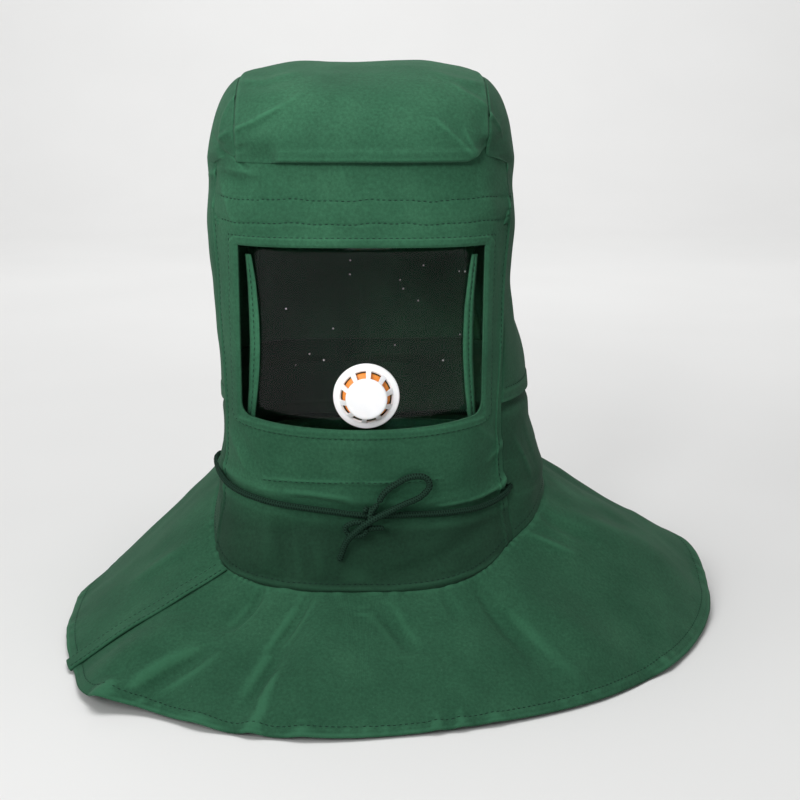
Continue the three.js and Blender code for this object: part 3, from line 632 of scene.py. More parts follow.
# Painted shade: the thread is near black, partly its own colour and partly the shade of the stitch holes.
thread_with_painted_shade = plain_material("thread_with_painted_shade", 900, (0.004, 0.016, 0.010), (0.012, 0.040, 0.026), 0.8, 0.15)


def dress(piece, material, slot, *nodes):
    piece.data.materials.append(material)
    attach(piece, "root")
    if nodes:
        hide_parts(*nodes)
    return piece


# %% [markdown]
# ## Stitches
# Sewing holds every edge, and its thread shows as rows of short dark dashes. The thread is made
# near black, partly its own colour and partly painted shade of the stitch holes. One stitch is a
# small stretched icosphere. A row is laid on a finished panel by asking for the closest place on
# the panel's mesh, which gives both where the cloth is and which way it faces there.

# %% Sew rows of stitches
STITCH_PITCH = 3.5
STITCH_SIZE = (1.25, 0.34, 0.28)


def sew(name, piece, rows):
    corners = [vert.co for vert in piece.data.vertices]
    skin = BVHTree.FromPolygons(corners, [face.vertices for face in piece.data.polygons])
    size = Matrix.Diagonal((*(side * MM for side in STITCH_SIZE), 1))
    bm = bmesh.new()
    count = 0
    for row in rows:
        places = points_at(row, np.arange(STITCH_PITCH / 2, run_along(row)[-1], STITCH_PITCH))
        for place, ahead in zip(places, np.gradient(places, axis=0)):
            spot, normal = skin.find_nearest(Vector(place * MM))[:2]
            along = Vector(ahead)
            along = (along - normal * along.dot(normal)).normalized()
            turned = Matrix((along, normal.cross(along), normal)).transposed().to_4x4()
            matrix = Matrix.Translation(spot) @ turned @ size
            bmesh.ops.create_icosphere(bm, subdivisions=1, radius=1, matrix=matrix)
            count += 1
    print(count, "stitches in", name)
    return dress(finish_mesh(name, bm), thread_with_painted_shade, "canvas")


# %% [markdown]
# ## Crown
# The crown is one long gusset that runs from the brow over the top and down to the nape. At the
# brow its folded edge hangs over the window panel and throws a thin shadow. Creases start at the
# two front corners, where the seams gather the cloth. One grid follows the whole strip, so the
# creases run unbroken over the top.

# %% Sew the crown panel
CROWN_FRONT_SHARE = 0.34
CROWN_WALL_SHARE = 0.62
CROWN_FOLDS = [
    (-74, -13, -60, -11.5, 1.3, 1.8),
    (-60, -11.5, -38, -5.5, 1.3, 2.2),
    (-70, -18, -46, -10, -0.7, 4),
    (-79, -42, -65, -36, 1.5, 1.7),
    (-65, -36, -47, -27, 1.5, 1.9),
    (-47, -27, -34, -19, 0.9, 2.4),
    (-72, -44, -50, -34, -1.0, 3.5),
    (-70, -50, -40, -44, 0.8, 6),
    (-80, -53, -68, -50, -1.4, 1.8),
    (44, -6, 60, -11, 1.1, 2.2),
    (60, -11, 77, -15, 1.2, 2.0),
    (53, -13, 66, -21, 1.2, 2.0),
    (66, -21, 79, -30, 1.3, 1.8),
    (62, -16, 76, -22, -0.8, 3),
    (43, -34, 58, -47, 1.2, 2.2),
    (58, -47, 67, -56, 1.2, 1.9),
    (61, -41, 70, -57, 1.0, 1.8),
    (66, -30, 76, -44, -1.0, 4),
    (-10, -34, 22, -26, -0.6, 12),
    (-30, -50, 30, -52, 0.5, 9),
]
CROWN_HUMPS = [(-46, 1.6, 20), (42, 1.9, 26)]
CROWN_SINK = 3.6
LIP_ENDS = (-55, -47)
FLUSH_RISE = 18
RIGHT_LIP_LIFT = 9
BACK_DROP = 154


def crown_place(u, v):
    x = (2 * u - 1) * GUSSET_HALF_WIDTH
    peak = dome_top_at(x)
    nape = height_at(NAPE_LEVEL)
    up = np.sin(np.minimum(v / CROWN_FRONT_SHARE, 1) * np.pi / 2)
    over = np.clip((v - CROWN_FRONT_SHARE) / (CROWN_WALL_SHARE - CROWN_FRONT_SHARE), 0, 1)
    down = np.clip((v - CROWN_WALL_SHARE) / (1 - CROWN_WALL_SHARE), 0, 1)
    front = v < CROWN_FRONT_SHARE
    z = np.where(front, mix(LIP, peak, up), mix(LIP, peak, np.cos(over * np.pi / 2)))
    z = np.where(v < CROWN_WALL_SHARE, z, mix(LIP, nape, down))
    reach = reach_at(z, True)
    y = np.where(front, -reach["front"], reach["back"]) * bow_at(x, reach)
    points = np.stack([x, y, z], -1)
    left_end = smoothstep(x, LIP_ENDS[1], LIP_ENDS[0])
    flush = np.maximum(left_end, smoothstep(x, 66, 75)) * smoothstep(z, LIP + FLUSH_RISE, LIP + 1) * front
    points[..., 1] = mix(y, plain_front_at(x, z), flush)
    lift = RIGHT_LIP_LIFT * smoothstep(x, 62, GUSSET_HALF_WIDTH) - left_end
    points[..., 2] += lift * smoothstep(z, LIP + FLUSH_RISE, LIP) * front
    turn = np.where(x < 0, -1, 1) * (np.pi - turn_at_side(np.abs(x), z))
    below = wall_point(turn, z)
    return np.where((z < LIP)[..., None] & ~front[..., None], below, points)


def crown_relief(u, v, points):
    x, z = points[..., 0], points[..., 2]
    from_seam = (1 - np.abs(2 * u - 1)) * GUSSET_HALF_WIDTH
    front = smoothstep(v, CROWN_FRONT_SHARE + 0.02, CROWN_FRONT_SHARE - 0.02)
    quiet = calm(from_seam)
    total = line_relief(x, z, CROWN_FOLDS) * front * (0.35 + 0.65 * calm(from_seam, 5))
    total += (noise_relief(points, 55, 1.6, 1) + noise_relief(points, 16, 0.35, 2)) * quiet
    total += groove(from_seam, 0.7, 0.9) + 0.25 * np.exp(-(((from_seam - 2.5) / 1.5) ** 2))
    sink = CROWN_SINK - sum(rise * np.exp(-(((x - at) / spread) ** 2)) for at, rise, spread in CROWN_HUMPS)
    total -= sink * smoothstep(z, -22, -3) * smoothstep(from_seam, 0, 25)
    from_lip = z - LIP
    kept = smoothstep(x, LIP_ENDS[0], LIP_ENDS[1])
    folded = 0.7 * smoothstep(from_lip, 9, 6) - 1.2 * np.clip(1 - from_lip / 2.5, 0, 1) ** 2
    total += folded * front * kept
    down = (v - CROWN_WALL_SHARE) / (1 - CROWN_WALL_SHARE)
    return total + sewn_hem(np.where(v > CROWN_WALL_SHARE, (1 - down) * BACK_DROP, BACK_DROP))


def crown_on_cloth(u, v, points):
    step = np.linalg.norm(np.diff(points, axis=0), axis=-1)
    run = np.concatenate([np.zeros((1, points.shape[1])), np.cumsum(step, 0)])
    return np.stack([points[..., 0], run], -1)


crown = cloth_panel("crown_cloth", 160, 300, crown_place, crown_relief, crown_on_cloth)
dress(crown, canvas, "canvas", "crown_panel")
nape_turns = np.pi + np.radians(np.linspace(-40, 40, 80))
nape_row = wall_point(nape_turns, height_at(NAPE_LEVEL) + 9)
sew("crown_stitches", crown, [nape_row])

# %% [markdown]
# ## Side panels
# A side panel covers the ear, from the window panel's edge to the crown's long seam. Its front
# edge steps forward at the brow, where it meets the corner of the lip. The panel follows the same
# wall, and only the turns at its two edges change with height.

# %% Sew the two side panels
TUCK = 5
TUCK_DEPTH = 2.4
SIDE_RUN = 150
SIDE_RISE = 60
SIDE_FOLDS = {
    -1: [
        (-95, -42, -83, -48, 1.3, 1.8),
        (-80, -20, -88, -46, 1.0, 2.2),
        (-86, -50, -70, -44, -1.2, 3),
        (-92, -57, -84, -54, -1.8, 2.2),
        (-60, -70, -96, -64, 1.6, 3.2),
        (-90, -72, -80, -84, -1.4, 4),
        (20, -120, 60, -150, 1.3, 10),
        (-10, -190, 60, -140, 1.2, 9),
    ],
    1: [
        (-96, -26, -84, -44, 1.2, 2.2),
        (-92, -48, -70, -40, -1.1, 4),
        (-66, -66, -98, -58, 1.6, 3.5),
        (-60, -90, -40, -180, 0.9, 8),
        (20, -120, 60, -150, 1.3, 10),
        (-10, -190, 60, -140, 1.2, 9),
    ],
}


def brow_share(z):
    """0 where a side panel tucks under the window panel, 1 at the brow, where it lies over it."""
    return smoothstep(z, LIP - 28, LIP - 18)


def side_place(side):
    bottom = height_at(NAPE_LEVEL)
    bend = GUSSET_EDGE_BLEND / 2
    top = float(dome_top_at(np.array(float(GUSSET_HALF_WIDTH))))
    stations = np.array([bottom, LIP - bend, LIP + bend, top])
    shares = np.array([0, 0.6, 0.64, 1])

    def place(u, v):
        z = np.interp(v, shares, stations)
        seam = turn_at_side(GUSSET_HALF_WIDTH, z)
        above = np.clip((z - LIP + bend) / GUSSET_EDGE_BLEND, 0, 1)
        under = 1 - brow_share(z)
        start = mix(FRONT_EDGE_TURN - TUCK * under / HALF_WIDTH, seam, above)
        even = mix(FRONT_EDGE_TURN, seam, smoothstep(z, LIP - GUSSET_EVEN_OUT, LIP + GUSSET_EVEN_OUT))
        run = u if side > 0 else 1 - u
        turn = mix(even, np.pi - seam, run) + (start - even) * (1 - run) ** 5
        past = (turn - FRONT_EDGE_TURN) * HALF_WIDTH
        proud = wall_point(side * turn, z, inset=TUCK_DEPTH * under * smoothstep(past, 0.8, -0.8))
        plain = wall_point(side * turn, z, lipped=False)
        flush = smoothstep(z, LIP + FLUSH_RISE, LIP + 1) * (1 - under) * smoothstep(run, 0.28, 0.04)
        return mix(proud, plain, flush[..., None])

    return place


def side_relief(side):
    def relief(u, v, points):
        y, z = points[..., 1], points[..., 2]
        run = u if side > 0 else 1 - u
        from_front, from_back = run * SIDE_RUN, (1 - run) * SIDE_RUN
        from_top = (1 - v) * SIDE_RISE
        quiet = calm(np.minimum(from_front, from_back)) * calm(from_top)
        total = (noise_relief(points, 60, 2.2, 3 + side) + noise_relief(points, 17, 0.35, 5)) * quiet
        total += line_relief(y, z, SIDE_FOLDS[side]) * calm(from_back, 5) * calm(from_top, 5)
        total += groove(from_front, 0.7, 0.9) * brow_share(z) + groove(from_back, 0.7, 0.9)
        total += groove(from_top, 0.7, 0.9)
        return total + sewn_hem(z - height_at(NAPE_LEVEL))

    return relief


def side_on_cloth(u, v, points):
    return np.stack([points[..., 1], points[..., 2]], -1)


# The right panel's canvas is a darker copy, as painted shade.
for side, name, finish in ((-1, "left", canvas), (1, "right", right_side_painted_shade_canvas)):
    panel = cloth_panel(f"side_cloth_{name}", 150, 210, side_place(side), side_relief(side), side_on_cloth)
    dress(panel, finish, "canvas", f"side_panel_{name}")
    ear_turns = side * np.linspace(FRONT_EDGE_TURN + 0.04, np.radians(130), 80)
    sew(f"side_stitches_{name}", panel, [wall_point(ear_turns, height_at(NAPE_LEVEL) + 9)])

# %% [markdown]
# ## Window panel
# The whole front is one panel with the window cut out of it and the edge of the hole folded back
# and sewn. Rings of faces from the window's outline out to the panel's edges keep that hem even
# all round, so the grid's long way goes round the window and its short way runs outwards.

# %% Outline the window
WINDOW_WIDTH = 151
WINDOW_HEIGHT = 107
WINDOW_LEVEL = 0.572
WINDOW_CORNER = 9
WINDOW_SAG = 5
WINDOW_MIDDLE = height_at(WINDOW_LEVEL)
WINDOW_TOP = WINDOW_MIDDLE + WINDOW_HEIGHT / 2
WINDOW_FOOT = WINDOW_MIDDLE - WINDOW_HEIGHT / 2


def bent(start, control, end, first=0.0, last=1.0, count=24):
    t = np.linspace(first, last, count)[:, None]
    start, control, end = (np.array(point, float) for point in (start, control, end))
    return (1 - t) ** 2 * start + 2 * t * (1 - t) * control + t * t * end


def resample(path, count):
    """Even steps along a path, with the last point left to the next side."""
    return points_at(path, np.linspace(0, run_along(path)[-1], count, endpoint=False))


def window_sides(count):
    """The window's outline in x and z, as foot, right, top and left sides of count points each."""
    half, r = WINDOW_WIDTH / 2, WINDOW_CORNER
    foot = WINDOW_FOOT
    left_in, left_out = (-half, foot + r), (-half + r, foot)
    right_in, right_out = (half - r, foot), (half, foot + r)
    left_corner, right_corner = (-half, foot), (half, foot)
    sag = (0, foot - 2 * WINDOW_SAG)
    foot_side = [
        bent(left_in, left_corner, left_out, 0.5, 1),
        bent(left_out, sag, right_in)[1:],
        bent(right_in, right_corner, right_out, 0, 0.5)[1:],
    ]
    right_side = [bent(right_in, right_corner, right_out, 0.5, 1), [(half, WINDOW_TOP)]]
    top_side = [[(half, WINDOW_TOP)], [(-half, WINDOW_TOP)]]
    left_side = [[(-half, WINDOW_TOP)], bent(left_in, left_corner, left_out, 0, 0.5)]
    return [resample(np.concatenate(side), count) for side in (foot_side, right_side, top_side, left_side)]


def panel_sides(count):
    """The front panel's own outline, as turn and z, with its tucked edge at the brow."""
    low, high = float(seam_height(FRONT_EDGE_TURN)) - HEM_DROP, LIP + LIP_COVER + 7
    t = np.arange(count) / count
    turns = mix(-FRONT_EDGE_TURN, FRONT_EDGE_TURN, t)
    rising, falling = mix(low, high, t), mix(high, low, t)
    flange = FRONT_EDGE_TURN + FLANGE * brow_share(high) / HALF_WIDTH
    return [
        np.stack([turns, seam_height(turns) - HEM_DROP], -1),
        np.stack([FRONT_EDGE_TURN + FLANGE * brow_share(rising) / HALF_WIDTH, rising], -1),
        np.stack([mix(flange, -flange, t), np.full(count, high)], -1),
        np.stack([-FRONT_EDGE_TURN - FLANGE * brow_share(falling) / HALF_WIDTH, falling], -1),
    ]


def to_turn(outline):
    x, z = outline[:, 0], outline[:, 1]
    return np.stack([np.sign(x) * turn_at_side(np.abs(x), z, lipped=False), z], -1)


# %% Sew the window panel
SIDE_STEPS = 124
RINGS = 98
HEM_DROP = 1.0
FLANGE = 9
BROW_ROWS = (-81, -95)
HEM_WIDTH = 5
FRONT_FOLDS = [
    (-82, -70, -66, -74, -2.6, 6),
    (-66, -76, -58, -92, -1.0, 6),
    (-86, -64, -62, -66, 1.2, 2.6),
    (-88, -66, -76, -100, 0.9, 2.5),
    (-79, -54, -69, -63, -1.6, 1.3),
    (74, -70, 82, -104, 0.9, 6),
    (-62, -254.5, -2, -255.5, 0.9, 1.3),
    (-2, -255.5, 50, -254, 0.8, 1.3),
    (-62, -258, 46, -258, -0.5, 2.0),
    (94, -238, 94, -259, 1.0, 1.3),
    (94, -259, 89.5, -268, 1.6, 1.6),
    (89.5, -268, 69, -271.5, 1.8, 1.7),
    (69, -271.5, 48, -272.5, 1.3, 1.6),
    (-40, -266, -12, -270, -1.8, 3.2),
    (-46, -261.5, -8, -265, 1.2, 2.6),
    (-50, -284, -46, -322, -3.0, 5.5),
    (-60, -284, -62, -316, 1.6, 6),
    (-30, -284, -26, -318, 1.4, 8),
    (10, -318, 48, -306, -2.4, 6),
    (48, -306, 80, -290, -2.6, 6),
    (20, -290, 66, -284, 1.2, 6),
    (-84, -228, -72, -252, 1.0, 2.6),
    (-78, -226, -64, -250, -0.9, 4),
    (72, -222, 92, -244, 0.9, 3),
    (80, -250, 92, -236, 0.9, 2.4),
    (-60, -232, 60, -234, 0.4, 5),
]


def cord_height(x):
    """The height of the drawcord across the front."""
    across, _, up = np.transpose(CORD_ROUTE[2:17])
    return np.interp(x, across, up)


def from_window(x, z):
    """How far a place is from the window's edge."""
    half = WINDOW_WIDTH / 2
    foot = WINDOW_FOOT - WINDOW_SAG * (1 - np.clip(x / half, -1, 1) ** 2)
    return np.hypot(np.maximum(np.abs(x) - half, 0), np.maximum(np.maximum(z - WINDOW_TOP, foot - z), 0))


def front_place(u, v):
    inner = np.concatenate([to_turn(side) for side in window_sides(SIDE_STEPS)])
    outer = np.concatenate(panel_sides(SIDE_STEPS))
    column = np.round(u * 4 * SIDE_STEPS).astype(int) % (4 * SIDE_STEPS)
    out = (v**1.3)[..., None]
    plan = inner[column] * (1 - out) + outer[column] * out
    turn, z = plan[..., 0], plan[..., 1]
    past = (np.abs(turn) - FRONT_EDGE_TURN) * HALF_WIDTH
    depth = TUCK_DEPTH * brow_share(z) * smoothstep(past, -0.8, 0.8) * smoothstep(z, LIP - 8, LIP - 16)
    return wall_point(turn, z, lipped=False, inset=depth)


def from_side_edge(x, z):
    """How far inside the panel's side edge a place is."""
    return (FRONT_EDGE_TURN - turn_at_side(np.abs(x), z, lipped=False)) * HALF_WIDTH


def seam_fold(over_seam):
    """The folded edge of a panel along the cape's seam."""
    rounded = np.clip(1 - (over_seam + HEM_DROP) / 1.2, 0, 1) ** 2
    return 0.9 * smoothstep(over_seam, 3.6, 1.6) - 0.9 * rounded


def front_skin_relief(points):
    x, z = points[..., 0], points[..., 2]
    hem = from_window(x, z)
    turn = np.arctan2(x, -points[..., 1])
    total = 0.9 * smoothstep(hem, HEM_WIDTH + 1.2, HEM_WIDTH - 0.2) - 1.0 * np.exp(-((hem / 1.0) ** 2))
    for row in BROW_ROWS:
        total += groove(z - row - brow_bob(x), 0.4, 1.0)
    total += 0.45 * np.exp(-(((z - sum(BROW_ROWS) / 2) / 5) ** 2))
    edge = from_side_edge(x, z)
    fold = 0.9 * smoothstep(edge, 4.5, 2.5) - 0.9 * np.clip(1 - edge / 1.2, 0, 1) ** 2
    total += fold * (1 - brow_share(z)) + seam_fold(z - seam_height(turn))
    above_cord = z - cord_height(x)
    total += 0.6 * np.exp(-((above_cord / 9) ** 2)) + 1.5 * np.exp(-(((above_cord - 8) / 4) ** 2))
    total += 1.1 * np.exp(-(((above_cord + 8) / 4.5) ** 2))
    total += line_relief(x, z, FRONT_FOLDS)
    return total


def brow_bob(x):
    """The two rows of stitching at the brow wander a little."""
    return 0.5 * np.sin(x / 9) + 0.3 * np.sin(x / 3.7)


def front_relief(u, v, points):
    x, z = points[..., 0], points[..., 2]
    turn = np.arctan2(x, -points[..., 1])
    quiet = calm(from_side_edge(x, z)) * calm(z - seam_height(turn)) * calm(from_window(x, z))
    total = front_skin_relief(points)
    return total + noise_relief(points, 48, 1.7, 7) * quiet + noise_relief(points, 15, 0.35, 8) * quiet


def front_on_cloth(u, v, points):
    x, z = points[..., 0], points[..., 2]
    bow = np.clip(np.abs(x) / HALF_WIDTH, 0, 0.98)
    return np.stack([x * (1 + 0.25 * bow**3), z], -1)


front = cloth_panel(
    "front_cloth", 4 * SIDE_STEPS, RINGS, front_place, front_relief, front_on_cloth, closed=True)
dress(front, front_canvas, "canvas", "front_panel")


def front_row(x, z):
    x, z = np.broadcast_arrays(x, z)
    return wall_point(np.sign(x) * turn_at_side(np.abs(x), z, lipped=False), z, lipped=False)


brow_x = np.linspace(-86, 84, 120)
front_rows = [front_row(brow_x, row + brow_bob(brow_x)) for row in BROW_ROWS]
outline = np.concatenate(window_sides(40))
outline = np.concatenate([outline, outline[:1]])
window_centre = (WINDOW_TOP + WINDOW_FOOT - WINDOW_SAG) / 2
hem_x = outline[:, 0] * (1 + (HEM_WIDTH + 0.6) / (WINDOW_WIDTH / 2))
hem_z = window_centre + (outline[:, 1] - window_centre) * (1 + (HEM_WIDTH + 0.6) / (WINDOW_HEIGHT / 2))
front_rows.append(front_row(hem_x, hem_z))
crease_x = np.linspace(-62, 50, 60)
front_rows.append(front_row(crease_x, -255.2 + 0.6 * np.sin(crease_x / 30)))
seam_turns = np.linspace(-1, 1, 120) * (FRONT_EDGE_TURN - 0.02)
front_rows.append(wall_point(seam_turns, seam_height(seam_turns) + 4))
for side in (-1, 1):
    edge_z = np.linspace(LIP - 32, -285, 80)
    front_rows.append(wall_point(side * (FRONT_EDGE_TURN - 5.2 / HALF_WIDTH), edge_z, lipped=False))
sew("front_stitches", front, front_rows)

# %% [markdown]
# ## Neck panel
# Below the nape a separate strip of canvas goes round the sides and the back, with the drawcord's
# slits in it. Its top edge is tucked under the panels above. Two grooves mark the casing that the
# cord runs in, and the cloth stands a little out over it. Faces inside each slit are simply
# deleted, which is enough for a hole that small.

# %% Sew the neck panel
SLIT_WIDTH = 3.4
SLIT_HEIGHT = 16
NECK_RUN = 470
CASING_Z = -264
CASING_HALF_WIDTH = 12
NECK_FOLDS = [
    (-60, -262, 40, -280, 1.5, 7),
    (-40, -236, 70, -226, -1.2, 8),
    (60, -224, 96, -262, 1.4, 9),
    (-70, -240, -64, -262, 1.2, 6),
    (-80, -288, -30, -270, 1.0, 6),
    (-66, -240, -52, -268, 1.2, 2.4),
    (-58, -232, -44, -262, -1.0, 3.5),
]


def neck_place(u, v):
    start = FRONT_EDGE_TURN - TUCK / HALF_WIDTH
    turn = mix(start, 2 * np.pi - start, u)
    nape = height_at(NAPE_LEVEL)
    z = mix(seam_height(turn) - HEM_DROP, nape + NAPE_TUCK, v)
    past = (np.minimum(turn, 2 * np.pi - turn) - FRONT_EDGE_TURN) * HALF_WIDTH
    inset = (CLOTH + NAPE_ROOM) * smoothstep(z, nape - NAPE_TUCK, nape - 1)
    inset = np.maximum(inset, TUCK_DEPTH * smoothstep(past, 0.8, -0.8))
    wrapped = np.where(turn > np.pi, turn - 2 * np.pi, turn)
    return wall_point(wrapped, z, inset=inset)


def neck_relief(u, v, points):
    y, z = points[..., 1], points[..., 2]
    turn = np.arctan2(points[..., 0], -y)
    over_seam = z - seam_height(turn)
    quiet = calm(height_at(NAPE_LEVEL) - z) * calm(np.minimum(u, 1 - u) * NECK_RUN - TUCK) * calm(over_seam)
    total = line_relief(y, z, NECK_FOLDS) * calm(over_seam, 5)
    casing = np.exp(-(((z - CASING_Z) / 9) ** 2))
    quiet = quiet * (1 - 0.9 * casing)
    total += noise_relief(points, 42, 2.2, 9) * quiet + noise_relief(points, 15, 0.3, 10) * quiet
    total += 1.1 * casing * smoothstep(y, -60, -20)
    at_left = smoothstep(y, -26, -44) * (points[..., 0] < 0)
    total += 1.9 * at_left * np.exp(-(((z - CORD_ROUTE[2][2]) / 7) ** 2))
    total += groove(np.abs(z - CASING_Z) - CASING_HALF_WIDTH, 0.35, 1.0)
    return total + seam_fold(over_seam)


def neck_on_cloth(u, v, points):
    return np.stack([u * NECK_RUN, points[..., 2]], -1)


def in_slit(centre):
    _, y, z = CORD_ROUTE[1] if centre.x < 0 else CORD_ROUTE[16]
    if centre.x < 0:
        return abs(centre.y - y - 1) < SLIT_WIDTH / 2 and abs(centre.z - z + 3) < SLIT_HEIGHT / 2
    return abs(centre.y - y + 2.5) < SLIT_WIDTH * 0.7 and abs(centre.z - z - 0.5) < SLIT_WIDTH * 0.5


neck = cloth_panel("neck_cloth", 330, 100, neck_place, neck_relief, neck_on_cloth, holes=in_slit)
# The neck's canvas is a darker copy, as painted shade.
dress(neck, neck_painted_shade_canvas, "canvas", "neck_panel")
neck_turns = np.linspace(FRONT_EDGE_TURN + 0.03, 2 * np.pi - FRONT_EDGE_TURN - 0.03, 240)
sew("neck_stitches", neck, [wall_point(neck_turns, seam_height(neck_turns) + 4)])

# %% [markdown]
# ## Cape
# The cape hangs from the neck seam like a cone and lies out on the table. Where the seam gathers
# it, folds run down towards the hem, some as sharp as a crease. The weave's flat plan is laid
# out round the neck, because the cape was cut as one wide curved sheet.

# %% Shape the cape
CAPE_FOLDS = [
    dict(start=-10, end=-20, near=0, far=0.8, rise=-0.026, spread=5),
    dict(start=-3, end=-8, near=0, far=0.9, rise=0.02, spread=7),
    dict(start=-25, end=-33, near=0, far=0.45, rise=-0.018, spread=4),
    dict(start=-3, end=9, near=0, far=0.5, rise=-0.012, spread=4),
    dict(start=30, end=38, near=0, far=0.85, rise=-0.024, spread=6),
    dict(start=40, end=52, near=0.1, far=1, rise=0.016, spread=8),
    dict(start=-40, end=-46, near=0.35, far=1.1, rise=0.024, spread=7),
    dict(start=88, end=92, near=0, far=0.9, rise=0.02, spread=7),
    dict(start=102, end=108, near=0, far=0.7, rise=-0.02, spread=6),
    dict(start=-100, end=-106, near=0, far=0.9, rise=-0.014, spread=9),
    dict(start=138, end=142, near=0.1, far=1.1, rise=-0.02, spread=11),
    dict(start=-150, end=-146, near=0.1, far=1.1, rise=0.018, spread=11),
    dict(start=176, end=180, near=0.1, far=1, rise=-0.016, spread=12),
]
CAPE_CREASES = [
    dict(start=-7.5, end=-17, near=0, far=0.5, rise=-0.011, spread=1.5),
    dict(start=-12, end=-21, near=0.1, far=0.8, rise=0.009, spread=2.6),
    dict(start=-14, end=-19, near=0.4, far=0.95, rise=-0.008, spread=1.4),
    dict(start=-24, end=-29, near=0.0, far=0.4, rise=-0.010, spread=1.7),
    dict(start=-0.5, end=8, near=0, far=0.5, rise=-0.009, spread=1.6),
    dict(start=31, end=36, near=0, far=0.75, rise=-0.011, spread=2.6),
    dict(start=36, end=40, near=0.3, far=0.98, rise=0.010, spread=3),
    dict(start=-29, end=-38, near=0.5, far=0.98, rise=-0.012, spread=1.7),
    dict(start=-34, end=-41, near=0.55, far=1.05, rise=0.010, spread=2.6),
    dict(start=-15, end=-16, near=0.6, far=1.05, rise=0.007, spread=1.6),
    dict(start=78, end=80, near=0, far=0.35, rise=-0.009, spread=2),
    dict(start=86, end=92, near=0, far=0.6, rise=-0.009, spread=2.2),
    dict(start=68, end=72, near=0, far=0.3, rise=0.008, spread=2),
    dict(start=17, end=20, near=0, far=0.3, rise=-0.006, spread=1.8),
    dict(start=-70, end=-74, near=0.1, far=0.6, rise=0.007, spread=3),
]


def cape_row(turn, column):
    return read_table(CAPE, "turn", np.degrees(turn), column, 360)


def folds_rise(turn, share, folds):
    rise = np.zeros(np.shape(turn))
    for fold in folds:
        run = (share - fold["near"]) / (fold["far"] - fold["near"])
        inside = (run >= 0) & (run <= 1)
        run = np.clip(run, 0, 1)
        middle = np.radians(mix(fold["start"], fold["end"], run))
        away = turn_from(turn, middle) / math.radians(fold["spread"])
        rise += np.where(inside, fold["rise"] * np.exp(-away * away) * np.sin(np.pi * run) ** 0.8, 0)
    return rise * CAPE_REACH


def cape_surface(turn, share):
    neck = wall_point(turn, seam_height(turn))
    neck[..., :2] *= 1 + SKIN_GAP / HALF_WIDTH
    reach = CAPE_REACH * cape_row(turn, "reach")
    hem_z = height_at(cape_row(turn, "lift")) + CLOTH
    bell = cape_row(turn, "bell")
    fall = share * (1 - bell) + bell * share**4
    x = mix(neck[..., 0], np.sin(turn) * reach, share)
    y = mix(neck[..., 1], -np.cos(turn) * reach, share)
    z = mix(neck[..., 2] - SEAM_GAP, hem_z, fall)
    rise = folds_rise(turn, share, CAPE_FOLDS)
    return np.stack([x + np.sin(turn) * rise * 0.5, y - np.cos(turn) * rise * 0.5, z + rise], -1)


PLACKET_START_TURN = math.radians(-49)
PLACKET_END_TURN = math.radians(-59)
PLACKET_WIDTH = 17
CAPE_SLANT = 150
CAPE_TUCK = 0.04


def cape_place(u, v):
    turn, share = u * 2 * np.pi, cape_share(v)
    out = cape_surface(turn, np.maximum(share, 0))
    inside = wall_point(turn, seam_height(turn) - SEAM_GAP - np.minimum(share, 0) * CAPE_SLANT, inset=1.9)
    return np.where((share < 0)[..., None], inside, out)


def cape_share(v):
    return 1 - v * (1 + CAPE_TUCK)


HEM_CRIMPS = [
    dict(turn=-42, lift=6.5, spread=1.8),
    dict(turn=-38.5, lift=2.0, spread=2.6),
    dict(turn=-25, lift=3.0, spread=3.4),
    dict(turn=-17, lift=2.2, spread=1.6),
    dict(turn=-9, lift=1.4, spread=2.0),
    dict(turn=12, lift=1.6, spread=1.2),
    dict(turn=16, lift=1.8, spread=1.3),
    dict(turn=22, lift=1.3, spread=1.6),
    dict(turn=60, lift=2.0, spread=4),
    dict(turn=130, lift=3.0, spread=5),
    dict(turn=-95, lift=2.0, spread=6),
    dict(turn=-140, lift=3.0, spread=6),
]


def cape_relief(u, v, points):
    turn, share = u * 2 * np.pi, cape_share(v)
    hem = (1 - share) * CAPE_SLANT
    top = np.maximum(share, 0) * CAPE_SLANT
    from_strip = turn_from(turn, mix(PLACKET_START_TURN, PLACKET_END_TURN, share))
    from_strip = np.abs(from_strip) * np.hypot(points[..., 0], points[..., 1])
    flat = smoothstep(from_strip, PLACKET_WIDTH * 0.6, PLACKET_WIDTH * 1.5)
    total = 1.4 * folds_rise(turn, share, CAPE_CREASES)
    total += noise_relief(points, 70, 2.6, 11) * smoothstep(top, 0, 20) * flat
    total += noise_relief(points, 20, 0.5, 12) * smoothstep(top, 0, 8) * flat
    total += 0.6 * smoothstep(hem, 9, 7.5) + groove(hem - 8, 0.35, 0.9)
    total -= 0.6 * (share < 0)
    pucker = np.sin(turn * 83 + 4 * np.sin(turn * 11)) * (0.5 + 0.5 * np.sin(turn * 19 + 1))
    total += 0.28 * pucker * np.exp(-(((hem - 6) / 7) ** 2)) + 0.3 * pucker * np.exp(-((top / 7) ** 2))
    for crimp in HEM_CRIMPS:
        away = turn_from(turn, math.radians(crimp["turn"])) / math.radians(crimp["spread"])
        total += 1.3 * crimp["lift"] * np.exp(-away * away) * smoothstep(hem, 24, 0) * flat
    return total


def cape_on_cloth(u, v, points):
    turn, share = u * 2 * np.pi, cape_share(v)
    run = 115 + share * CAPE_SLANT
    return np.stack([np.sin(turn) * run, np.cos(turn) * run], -1)


cape = cloth_panel("cape_cloth", 576, 84, cape_place, cape_relief, cape_on_cloth, closed=True)
dress(cape, canvas, "canvas", "cape")

# %% [markdown]
# ## Closing strip of the cape
# The cape opens along one line, which a folded strip of canvas covers. The strip lies on the
# cape with one sharp edge, and its end sticks out a little past the hem. It is a narrow grid on
# the cape's surface, lifted by the cape's own thickness.

# %% Lay the strip on the cape
PLACKET_PROUD = 3


